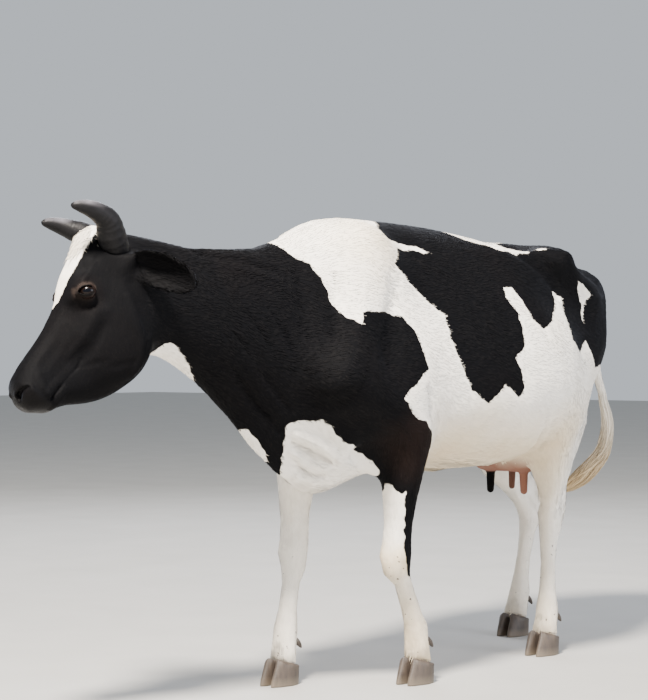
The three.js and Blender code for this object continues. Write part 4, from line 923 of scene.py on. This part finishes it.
def comb(name, tree, roots, sizes, way, bake, paints, turn=0.1):
    """One piece of coat: a flat tapered tuft at each root, lit mostly as the skin under it.

    sizes holds the length, width and rise of each tuft in metres."""
    random = roots.random
    length, width, rise = sizes
    count = len(roots.places)
    normal = roots.normals
    way = unit(way - normal * (way * normal).sum(axis=1, keepdims=True))
    side = np.cross(normal, way)
    angle = (swirl(roots.places) + random.normal(0, turn, count))[:, None]
    way, side = way * np.cos(angle) + side * np.sin(angle), side * np.cos(angle) - way * np.sin(angle)
    length = length * random.uniform(0.75, 1.25, count)
    width = width * random.uniform(0.75, 1.2, count)
    rise = rise * random.uniform(0.55, 1.1, count)
    corners, lit, under = [], [], {0: (roots.places, normal)}
    for share in np.unique(TUFT[1:, 0]):
        ahead = roots.places + way * (share * length)[:, None]
        hugging, out = on_skin(tree, ahead)
        # round the coronets the hair runs on past the skin's edge, and out over the claws
        free = (np.linalg.norm(ahead - hugging, axis=1) > 0.003) & (ahead[:, 2] < CORONET)
        hugging[free] = (ahead + normal * (0.3 * share * length)[:, None])[free]
        out[free] = normal[free]
        under[share] = hugging, out
    for ahead, aside, up, thick, lean, tip in TUFT:
        lifted = (up * rise + thick * TUFT_THICK)[:, None]
        place_under, out = under[ahead]
        corners.append(place_under + side * (aside * width / 2)[:, None] + out * lifted)
        lit.append(unit(normal + lean * way + tip * side))
    corners = np.stack(corners, axis=1).reshape(-1, 3)
    faces = (TUFT_FACES[None] + 5 * np.arange(count)[:, None, None]).reshape(-1, 3)
    obj = new_mesh(name, corners, faces)
    obj.data.normals_split_custom_set_from_vertices(np.stack(lit, axis=1).reshape(-1, 3))
    patch = np.array([[-1, 0], [0, 1], [0, -1], [0.3, 0], [1, 0]]) * BAKE_PATCH / 2
    where = (bake[:, None, :] + patch[None]).reshape(-1, 2)[faces.ravel()]
    obj.data.uv_layers.new(name="OFBake").data.foreach_set("uv", where.astype(np.float32).ravel())
    tone = random.random(count)
    paint_each = {key: np.repeat(value, 5) for key, value in paints.items()}
    paint(obj.data, tone=np.repeat(tone, 5), **paint_each)
    return obj


def coat_pieces(skin, cow):
    """The pieces of the short coat, one after another."""
    mesh = skin.data
    places, normals = places_of(mesh), normals_of(mesh)
    parts = np.array([part_of(node) for node in nearest_part(places)])
    names = ("black", "bare", "dusky", "wet", "stain", "rust", "beige", "mud", "upright")
    paints = {}
    for name in names:
        paints[name] = np.empty(len(places), np.float32)
        mesh.attributes[name].data.foreach_get("value", paints[name])
    dense = np.array([COAT[part][0] for part in parts], float) * np.clip(1 - 1.6 * paints["bare"], 0, 1)
    s, l, n = in_skull(places).T
    dense *= np.where(parts == "head", 1 - ramp(np.abs(s - 455), 40, 20), 1)
    mm = (places - (0, FORE_FEET, 0)) * 1000
    tree = BVHTree.FromPolygons(places.tolist(), triangles_of(mesh).tolist())
    for index, (name, (kinds, middle, kind)) in enumerate(COATS.items()):
        chosen = np.isin(parts, kinds)
        if name.endswith("left"):
            chosen &= mm[:, 0] >= 0
        elif name.endswith("right"):
            chosen &= mm[:, 0] < 0
        roots = Roots(mesh, parts, dense * chosen, 11 + index)
        at = (roots.places - (0, FORE_FEET, 0)) * 1000
        sizes = np.array([COAT[part][1:] for part in roots.parts]) / 1000
        longer = np.ones(len(at))
        for centre, reach, times in LONG_HAIR:
            longer += (times - 1) * (1 - ramp(np.linalg.norm(at - centre, axis=1), 0.4 * reach, 1.3 * reach))
        sizes[:, 0] *= longer * cow.tuft_length / COAT["trunk"][1] * 1000
        sizes[:, 2] *= 0.5 + 0.5 * longer
        values = {key: roots.mean(value) for key, value in paints.items()}
        values["black"] = signed_black(roots.places)
        sizes[:, :2] *= (0.42 + 0.58 * ramp(np.abs(values["black"]), 0.008, 0.030))[:, None]
        values["bare"] = np.zeros(len(at))
        piece = comb(name, tree, roots, sizes.T, hair_way(roots.places, roots.parts),
                     unwrapped(roots.places, middle, kind), values)
        yield piece


def forelock(skin):
    """The longer hair on the poll, falling forward between the horns, and the fringes of the ears."""
    mesh = skin.data
    places = places_of(mesh)
    s, l, n = in_skull(places).T
    parts = np.array([part_of(node) for node in nearest_part(places)])
    poll = (parts != "ear") * (1 - ramp(np.hypot((s - 12) / 58, l / 42), 0.55, 1.1)) * (n > -15)
    head = Roots(mesh, parts, 60000 * poll, 31)
    s, l, n = in_skull(head.places).T
    way = np.column_stack((np.ones(len(s)), 0.010 * l, np.full(len(s), 0.1))) @ HEAD
    sizes = np.column_stack((np.full(len(s), 0.026), np.full(len(s), 0.0028), np.full(len(s), 0.0060))).T
    values = {"black": signed_black(head.places), "stain": np.full(len(s), 0.3), "upright": np.ones(len(s))}
    tree = BVHTree.FromPolygons(places.tolist(), triangles_of(mesh).tolist())
    top = comb("coat_forelock", tree, head, sizes, way, unwrapped(head.places, None, "head"), values, turn=0.45)
    ear = (parts == "ear").astype(float)
    rim = Neighbours(mesh)
    bend = np.linalg.norm(rim.mean(places) - places, axis=1)
    edge = ear * ramp(bend, 0.0004, 0.0011)
    hairs = Roots(mesh, parts, 90000 * edge + 5000 * ear, 32)
    s, l, n = in_skull(hairs.places).T
    way = np.column_stack((np.full(len(s), 0.15), 0.7 * np.sign(l), -0.45 + 0 * s)) @ HEAD + 0.45 * hairs.normals
    sizes = np.column_stack((np.full(len(s), 0.019), np.full(len(s), 0.0020), np.full(len(s), 0.004))).T
    values = {"black": np.full(len(s), 0.03), "upright": np.ones(len(s))}
    fringe = comb("coat_ear_fringe", tree, hairs, sizes, way, unwrapped(hairs.places, None, "head"), values, turn=0.25)
    return top, fringe


# ------------------------------------------------------------------------------------------------ tail switch
SWITCH = [(28, 1408, 900, 10), (29, 1425, 840, 15), (33, 1452, 745, 22), (30, 1430, 650, 28), (18, 1370, 592, 32),
          (2, 1306, 550, 31), (-16, 1248, 522, 20), (-24, 1216, 509, 6)]  # x, y, z and radius of the whole switch


def curve_through(rows, count):
    """Rows of numbers as a smooth run through them."""
    rows = np.asarray(rows, float)
    padded = np.vstack((2 * rows[0] - rows[1], rows, 2 * rows[-1] - rows[-2]))
    t = np.linspace(0, len(rows) - 1 - 1e-9, count)
    i = t.astype(int)
    f = (t - i)[:, None]
    a, b, c, d = (padded[i + k] for k in range(4))
    return 0.5 * (2 * b + (c - a) * f + (2 * a - 5 * b + 4 * c - d) * f ** 2 + (3 * b - a - 3 * c + d) * f ** 3)


def tube(path, radii, sides, flat=1.0):
    """Corners and faces of a closed tapered tube along a path, with its ends drawn to points."""
    along = unit(np.gradient(path, axis=0))
    start = np.array((0.0, 0, 1)) if abs(along[0][2]) < 0.9 else np.array((1.0, 0, 0))
    side = unit(np.cross(along[0], start))
    sides_at = [side]
    for direction in along[1:]:
        side = unit(side - direction * (side @ direction))
        sides_at.append(side)
    sides_at = np.array(sides_at)
    ups = np.cross(along, sides_at)
    angles = np.linspace(0, 2 * math.pi, sides, endpoint=False)
    rings = path[:, None] + radii[:, None, None] * (
        sides_at[:, None] * np.cos(angles)[None, :, None] + flat * ups[:, None] * np.sin(angles)[None, :, None])
    corners = np.vstack((rings.reshape(-1, 3), path[:1], path[-1:]))
    count = len(path)
    faces = []
    for ring in range(count - 1):
        for k in range(sides):
            a, b = ring * sides + k, ring * sides + (k + 1) % sides
            faces += [[a, b, b + sides], [a, b + sides, a + sides]]
    for k in range(sides):
        following = (k + 1) % sides
        faces.append([following, k, count * sides])
        faces.append([(count - 1) * sides + k, (count - 1) * sides + following, count * sides + 1])
    return corners, np.array(faces)


def switch_material(cow):
    """Long tail hair, coarse as thin twine and dirty at the end: white above, straw yellow and brown below."""
    material, tree, shader = new_material("long_tail_hair", Roughness=0.5, Specular_IOR_Level=0.4,
                                          Sheen_Weight=0.15, IOR=1.5)
    low = attribute(tree, "low")
    tone = attribute(tree, "tone")
    fine = streaks(tree, (1, 0.3, 0.3), 160, 2).outputs["Fac"]
    pale = blend_colour(tree, low, linear(0xEFE7D8), linear(0xCBB184))
    deep = blend_colour(tree, low, linear(0xD2C7B2), linear(0x8E7046))
    mix = calc(tree, "MULTIPLY_ADD", fine, 0.7, calc(tree, "MULTIPLY_ADD", tone, 0.6, -0.35), clamp=True)
    tree.links.new(blend_colour(tree, mix, pale, deep), shader.inputs["Base Color"])
    bump = add(tree, "ShaderNodeBump", {"Height": fine, "Strength": 0.4, "Distance": 0.001})
    tree.links.new(bump.outputs[0], shader.inputs["Normal"])
    return material


def tail_switch():
    """Wavy locks wound loosely round the tail's end, and thin loose strands over them."""
    random = np.random.default_rng(7)
    route = curve_through(SWITCH, 60)
    along = unit(np.gradient(route[:, :3], axis=0))
    side = unit(np.cross(along, (1.0, 0, 0)))
    up = np.cross(side, along)
    corners, faces, tones, lows, total = [], [], [], [], 0
    for lock in range(330):
        thin = lock >= 130
        first = int(random.uniform(0, 14 if not thin else 34))
        last = int(random.uniform(44, 60)) if not thin else min(59, first + int(random.uniform(14, 30)))
        steps = np.linspace(first, last, 12 if thin else 16)
        angle = random.uniform(0, 2 * math.pi) + 0.5 * np.sin(steps / 9 + random.uniform(0, 6)) + 0.012 * steps
        deep = 1.0 if thin else math.sqrt(random.uniform(0.02, 0.82))
        pick = steps.astype(int)
        radius = route[pick, 3] * deep * (0.9 + 0.08 * np.sin(steps / 4 + random.uniform(0, 6)))
        path = route[pick, :3] + radius[:, None] * (side[pick] * np.cos(angle)[:, None] + up[pick] * np.sin(angle)[:, None])
        thickness = (1.3 if thin else 5.6) * np.sin(np.linspace(0.12, math.pi - 0.1, len(steps))) ** 0.7
        points, quads = tube(body(path), thickness / 1000, 3 if thin else 6, 0.7)
        corners.append(points)
        faces.append(quads + total)
        total += len(points)
        tones.append(np.full(len(points), random.random()))
        lows.append(ramp(-points[:, 2], -0.82, -0.54))
    obj = new_mesh("switch", np.vstack(corners), np.vstack(faces))
    paint(obj.data, tone=np.concatenate(tones), low=np.concatenate(lows))
    return obj


# ------------------------------------------------------------------------------------------------ horns
HORN = [(-11, 40, -50, 37), (-28, 67, -11, 39), (-46, 90, 24, 33.5), (-46, 102, 55, 28.2), (-39, 109, 84, 23.4),
        (-28, 110, 112, 17.2), (-19, 109, 128, 10.5), (-16, 108, 135, 4)]  # [s, l, n] and radius of the left one
LOW_HORN = (14, 0, -7, 0)  # how much lower the right horn's outer part hangs


def horn_material(cow):
    """Grown keratin, worn to a dull polish: slate, with a pale streaked band between base and tip that is a painted
    highlight on the upper side.
    """
    material, tree, shader = new_material("grown_horn", Specular_IOR_Level=0.14, IOR=1.54)
    along, topside = attribute(tree, "along"), attribute(tree, "topside")
    grain = streaks(tree, (1, 0.5, 1), 38, 5).outputs["Fac"]
    middle = add(tree, "ShaderNodeMapRange", {"Value": along, "From Min": 0.42, "From Max": 0.62},
                 interpolation_type="SMOOTHSTEP").outputs["Result"]
    tip = add(tree, "ShaderNodeMapRange", {"Value": along, "From Min": 0.80, "From Max": 0.93},
              interpolation_type="SMOOTHSTEP").outputs["Result"]
    # Painted highlight: the pale streaked band shows only where the horn faces up, as light from above.
    pale = calc(tree, "MULTIPLY", calc(tree, "SUBTRACT", middle, tip), topside)
    pale = calc(tree, "MULTIPLY", pale, calc(tree, "MULTIPLY_ADD", grain, 2.2, -0.4, clamp=True), clamp=True)
    slate = blend_colour(tree, grain, linear(0x08080A), linear(0x19181A))
    colour = blend_colour(tree, calc(tree, "MULTIPLY", pale, 0.5), slate, linear(0x84828A))
    tree.links.new(colour, shader.inputs["Base Color"])
    tree.links.new(calc(tree, "MULTIPLY_ADD", grain, 0.25, 0.42), shader.inputs["Roughness"])
    fibres = streaks(tree, (1, 0.5, 1), 150, 3).outputs["Fac"]
    bump = add(tree, "ShaderNodeBump", {"Height": fibres, "Strength": 0.45, "Distance": 0.0015})
    tree.links.new(bump.outputs[0], shader.inputs["Normal"])
    return material


def horn(name, side):
    """One horn: rings round a smooth line, swollen by the yearly growth rings near the base."""
    low = np.minimum(np.arange(len(HORN)) / 3, 1)[:, None] * (side < 0)
    rows = curve_through(HORN + low * LOW_HORN, 110)
    random = np.random.default_rng(3 + side)
    along = np.linspace(0, 1, len(rows))
    rings = np.zeros(len(rows))
    for at in (0.10, 0.17, 0.235, 0.30, 0.36, 0.415, 0.465):
        rings += np.exp(-((along - at - random.uniform(-0.006, 0.006)) / 0.012) ** 2) * (1.5 - 2.4 * at)
    radii = (rows[:, 3] + rings - 0.6) / 1000
    path = skull(rows[:, :3] * (1, side, 1))
    corners, faces = tube(path, radii, 48)
    if signed_volume(corners, faces) < 0:
        faces = faces[:, ::-1]
    obj = new_mesh(name, corners, faces)
    share = np.concatenate((np.repeat(along, 48), (0, 1)))
    normals = normals_of(obj.data)
    roughness = np.sin(corners @ (310, 190, 260)) * 0.00025 * (1 - share)
    place(obj.data, corners + normals * roughness[:, None])
    # How much each point faces up, which is where the horn's painted highlight goes.
    paint(obj.data, along=share, topside=ramp(normals[:, 2], 0.1, 0.85))
    return obj


def signed_volume(corners, faces):
    a, b, c = (corners[faces[:, i]] for i in range(3))
    return (a * np.cross(b, c)).sum() / 6


# ------------------------------------------------------------------------------------------------ eyes
def eye_material(cow):
    """A wet eyeball: dark brown iris, a lying oval pupil, and a brown-stained white, under a clear tear film."""
    material, tree, shader = new_material("wet_eyeball", Roughness=0.22, IOR=1.376, Coat_Weight=0.10,
                                          Coat_Roughness=0.10, Specular_IOR_Level=0.18)
    x, y = attribute(tree, "slit_x"), attribute(tree, "slit_y")

    def ellipse(a, b):
        square = calc(tree, "ADD", calc(tree, "POWER", calc(tree, "DIVIDE", calc(tree, "ABSOLUTE", x), a), 2.0),
                      calc(tree, "POWER", calc(tree, "DIVIDE", calc(tree, "ABSOLUTE", y), b), 2.0))
        return calc(tree, "SQRT", square)

    def edge(value, low, high):
        return add(tree, "ShaderNodeMapRange", {"Value": value, "From Min": low, "From Max": high},
                   interpolation_type="SMOOTHSTEP").outputs["Result"]

    fibres = add(tree, "ShaderNodeTexNoise", {"Vector": add(tree, "ShaderNodeTexCoord").outputs["Object"],
                                              "Scale": 420.0, "Detail": 4.0}).outputs["Fac"]
    iris = blend_colour(tree, fibres, linear(0x070505), linear(0x160D09))
    pupil = edge(ellipse(0.50, 0.24), 0.85, 1.05)
    colour = blend_colour(tree, pupil, linear(0x04050A), iris)
    white = blend_colour(tree, fibres, linear(0x0F0B0A), linear(0x261C19))
    colour = blend_colour(tree, edge(ellipse(0.80, 0.80), 0.92, 1.06), colour, white)
    tree.links.new(colour, shader.inputs["Base Color"])
    return material


def eyeball(name, side):
    """One eye: a ball drawn out along the slit, with the clear front standing a little proud."""
    centre, axes = skull(np.array(EYE) * (1, side, 1)), eye_axes(side)
    bpy.ops.object.select_all(action="DESELECT")
    bpy.ops.mesh.primitive_uv_sphere_add(segments=56, ring_count=36, radius=1)
    obj = bpy.context.object
    obj.name = obj.data.name = name
    ball = places_of(obj.data)
    proud = 1 + 0.055 * np.exp(-((1 - ball[:, 2]) / 0.16) ** 2)
    shaped = ball * proud[:, None] * np.array(BALL) / 1000
    place(obj.data, shaped @ axes + centre)
    if signed_volume(places_of(obj.data), triangles_of(obj.data)) < 0:
        obj.data.flip_normals()
    obj.data.polygons.foreach_set("use_smooth", np.ones(len(obj.data.polygons), bool))
    paint(obj.data, slit_x=ball[:, 0] + 2 * (ball[:, 2] < 0), slit_y=ball[:, 1])
    return obj


# ------------------------------------------------------------------------------------------------ claws
def claw_material(cow):
    """Claw horn: slate grey and brown, with growth ridges a few millimetres apart and a worn, dusty edge."""
    material, tree, shader = new_material("claw_horn", Specular_IOR_Level=0.45, IOR=1.54)
    where = add(tree, "ShaderNodeTexCoord").outputs["Object"]
    grain = streaks(tree, (1, 1, 0.25), 90, 4).outputs["Fac"]
    ridges = add(tree, "ShaderNodeTexWave", {"Vector": where, "Scale": 38.0, "Distortion": 6.0, "Detail": 2.0,
                                             "Detail Scale": 1.5}, bands_direction="Z").outputs["Fac"]
    colour = blend_colour(tree, grain, linear(0x25201E), linear(0x5C5046))
    height = add(tree, "ShaderNodeSeparateXYZ", {"Vector": where}).outputs["Z"]
    dusty = calc(tree, "MULTIPLY", add(tree, "ShaderNodeMapRange", {"Value": height, "From Min": 0.03, "From Max": 0.0})
                 .outputs["Result"], 0.5)
    colour = blend_colour(tree, dusty, colour, linear(0x8C7F6D))
    tree.links.new(colour, shader.inputs["Base Color"])
    tree.links.new(calc(tree, "MULTIPLY_ADD", grain, 0.3, 0.42), shader.inputs["Roughness"])
    bump = add(tree, "ShaderNodeBump", {"Height": calc(tree, "MULTIPLY_ADD", ridges, 0.35, grain), "Strength": 0.22,
                                        "Distance": 0.0015})
    tree.links.new(bump.outputs[0], shader.inputs["Normal"])
    return material


def claw(node):
    """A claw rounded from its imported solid, its ground edge kept sharp and flat."""
    obj = own_copy(f"fine_{node}", node)
    bpy.ops.object.mode_set(mode="EDIT")
    bpy.ops.mesh.select_all(action="SELECT")
    bpy.ops.mesh.tris_convert_to_quads(face_threshold=math.radians(50), shape_threshold=math.radians(60))
    bpy.ops.object.mode_set(mode="OBJECT")
    mesh = obj.data
    places = places_of(mesh)
    ground = 0.0015
    if places[:, 2].min() < ground:
        crease = mesh.attributes.new("crease_edge", "FLOAT", "EDGE")
        for edge in mesh.edges:
            if all(places[v][2] < ground for v in edge.vertices):
                crease.data[edge.index].value = 0.85
    modify(obj, "SUBSURF", levels=2, render_levels=2)
    mesh.polygons.foreach_set("use_smooth", np.ones(len(mesh.polygons), bool))
    return obj


def dress(obj, material, slot, *nodes):
    """Gives a finished piece its material and its body, and hides the nodes that it stands for; slot is not used."""
    obj.data.materials.clear()
    obj.data.materials.append(material)
    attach(obj, "root")
    if nodes:
        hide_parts(*nodes)


# ------------------------------------------------------------------------------------------------ stage
def floor_material(cow):
    """Matt painted studio floor: near white, with a faint mottle that keeps it from looking computed."""
    material, tree, shader = new_material("matt_studio_floor", Roughness=0.85, Specular_IOR_Level=0.2)
    mottle = add(tree, "ShaderNodeTexNoise", {"Vector": add(tree, "ShaderNodeTexCoord").outputs["Object"],
                                              "Scale": 3.0, "Detail": 4.0}).outputs["Fac"]
    tree.links.new(blend_colour(tree, mottle, linear(cow.floor), linear(0xA6A5A2)), shader.inputs["Base Color"])
    return material


class CowSettings(bpy.types.PropertyGroup):
    """Sizes and colours of the cow."""

    black_hair: bpy.props.IntProperty(name="Black hair", description="Colour of the black patches, as sRGB hex",
                                      default=0x08080A)
    rusty_hair: bpy.props.IntProperty(name="Rusty hair", description="Sun-faded black hair, as sRGB hex",
                                      default=0x1E1512)
    white_hair: bpy.props.IntProperty(name="White hair", description="Colour of the white patches, as sRGB hex",
                                      default=0xFBF5EA)
    # Yellow of real stains, and of the painted reflection of ground light on the lower barrel.
    stained_hair: bpy.props.IntProperty(name="Stained hair", description="White hair yellowed by use, as sRGB hex",
                                        default=0xDCC7A2)
    bare_skin: bpy.props.IntProperty(name="Bare skin", description="Skin of udder and teats, as sRGB hex",
                                     default=0xA87A69)
    floor: bpy.props.IntProperty(name="Floor", description="Colour of the studio floor, as sRGB hex",
                                 default=0xB4B3B0)
    tuft_length: bpy.props.FloatProperty(name="Tuft length", description="Length of a tuft on the barrel",
                                         default=0.026, unit="LENGTH")


class COW_OT_skin(bpy.types.Operator):
    """Makes the one skin that stands for all the nodes of flesh"""

    bl_idname = "cow.skin"
    bl_label = "Skin"

    def execute(self, context):
        skin = first_form()
        model_skin(skin)
        lighten(skin)
        mesh = skin.data
        paint_hide(mesh, places_of(mesh), normals_of(mesh))
        dress(skin, once(hide_material, context.scene.cow), "hide", *FLESH)
        return {"FINISHED"}


class COW_OT_coat(bpy.types.Operator):
    """Combs the coat of short tufts over the skin, with the forelock and the fringes of the ears"""

    bl_idname = "cow.coat"
    bl_label = "Coat"

    def execute(self, context):
        skin = bpy.data.objects["skin"]
        material = once(hide_material, context.scene.cow)
        for piece in (*coat_pieces(skin, context.scene.cow), *forelock(skin)):
            dress(piece, material, "hide")
        return {"FINISHED"}


class COW_OT_switch(bpy.types.Operator):
    """Makes the locks of the tail switch"""

    bl_idname = "cow.switch"
    bl_label = "Tail Switch"

    def execute(self, context):
        dress(tail_switch(), once(switch_material, context.scene.cow), "switch_hair", "tail_switch")
        return {"FINISHED"}


class COW_OT_horns(bpy.types.Operator):
    """Makes both horns"""

    bl_idname = "cow.horns"
    bl_label = "Horns"

    def execute(self, context):
        for name, side in SIDES.items():
            dress(horn(f"grown_horn_{name}", side), once(horn_material, context.scene.cow), "horn", f"horn_{name}")
        return {"FINISHED"}


class COW_OT_eyes(bpy.types.Operator):
    """Makes both eyeballs"""

    bl_idname = "cow.eyes"
    bl_label = "Eyes"

    def execute(self, context):
        for name, side in SIDES.items():
            dress(eyeball(f"eyeball_{name}", side), once(eye_material, context.scene.cow), "eye", f"eye_{name}")
        return {"FINISHED"}


class COW_OT_claws(bpy.types.Operator):
    """Rounds the claws and dewclaws"""

    bl_idname = "cow.claws"
    bl_label = "Claws"

    def execute(self, context):
        for node in CLAWS:
            dress(claw(node), once(claw_material, context.scene.cow), "hoof", node)
        return {"FINISHED"}


class COW_OT_stage(bpy.types.Operator):
    """Makes the floor, the light and the camera"""

    bl_idname = "cow.stage"
    bl_label = "Stage"

    def execute(self, context):
        bpy.ops.object.select_all(action="DESELECT")
        bpy.ops.mesh.primitive_plane_add(size=60)
        floor = context.object
        floor.name = "floor"
        floor.data.materials.append(once(floor_material, context.scene.cow))
        world = bpy.data.worlds.new("studio")
        context.scene.world = world
        world.use_nodes = True
        sky = world.node_tree.nodes["Background"]
        sky.inputs["Color"].default_value = linear(0xDDE4EC)
        sky.inputs["Strength"].default_value = 0.8
        for name, at, size, power, tint in (("key", (1.6, -4.6, 7.0), 1.3, 3200, 0xFFF6EA),
                                            ("fill", (6.5, 1.5, 2.6), 4.0, 330, 0xEEF3FF),
                                            ("back", (-4.0, 4.0, 4.5), 3.0, 320, 0xF2F5FF)):
            bpy.ops.object.light_add(type="AREA", location=at)
            lamp = context.object
            lamp.name = name
            lamp.data.shape, lamp.data.size, lamp.data.energy = "DISK", size, power
            lamp.data.color = linear(tint)[:3]
            lamp.rotation_euler = (Vector((0, 0, 0.8)) - lamp.location).to_track_quat("-Z", "Y").to_euler()
        eye_level, lens = 1.0, 98.7
        bpy.ops.object.camera_add(location=(3.586, FORE_FEET - 4.557, eye_level))
        camera = context.object
        camera.data.lens, camera.data.sensor_width, camera.data.sensor_fit = lens, 36, "AUTO"
        camera.data.shift_y = 2 / 700
        camera.rotation_euler = (math.radians(90), 0, math.atan2(0.629, 0.777))
        context.scene.camera = camera
        return {"FINISHED"}


class COW_PT_panel(bpy.types.Panel):
    """The cow's pieces in the 3D view's sidebar"""

    bl_label = "Cow"
    bl_idname = "COW_PT_panel"
    bl_space_type = "VIEW_3D"
    bl_region_type = "UI"
    bl_category = "Cow"

    def draw(self, context):
        for name in CowSettings.__annotations__:
            self.layout.prop(context.scene.cow, name)
        for operator in OPERATORS:
            self.layout.operator(operator.bl_idname)


OPERATORS = (COW_OT_stage, COW_OT_skin, COW_OT_coat, COW_OT_switch, COW_OT_horns, COW_OT_eyes, COW_OT_claws)
CLASSES = (CowSettings, *OPERATORS, COW_PT_panel)


def register():
    for cls in CLASSES:
        bpy.utils.register_class(cls)
    bpy.types.Scene.cow = bpy.props.PointerProperty(type=CowSettings)


def unregister():
    del bpy.types.Scene.cow
    for cls in reversed(CLASSES):
        bpy.utils.unregister_class(cls)


def main():
    register()
    bpy.ops.cow.stage()
    bpy.ops.cow.skin()
    bpy.ops.cow.coat()
    bpy.ops.cow.switch()
    bpy.ops.cow.horns()
    bpy.ops.cow.eyes()
    bpy.ops.cow.claws()


if __name__ == "__main__":
    main()
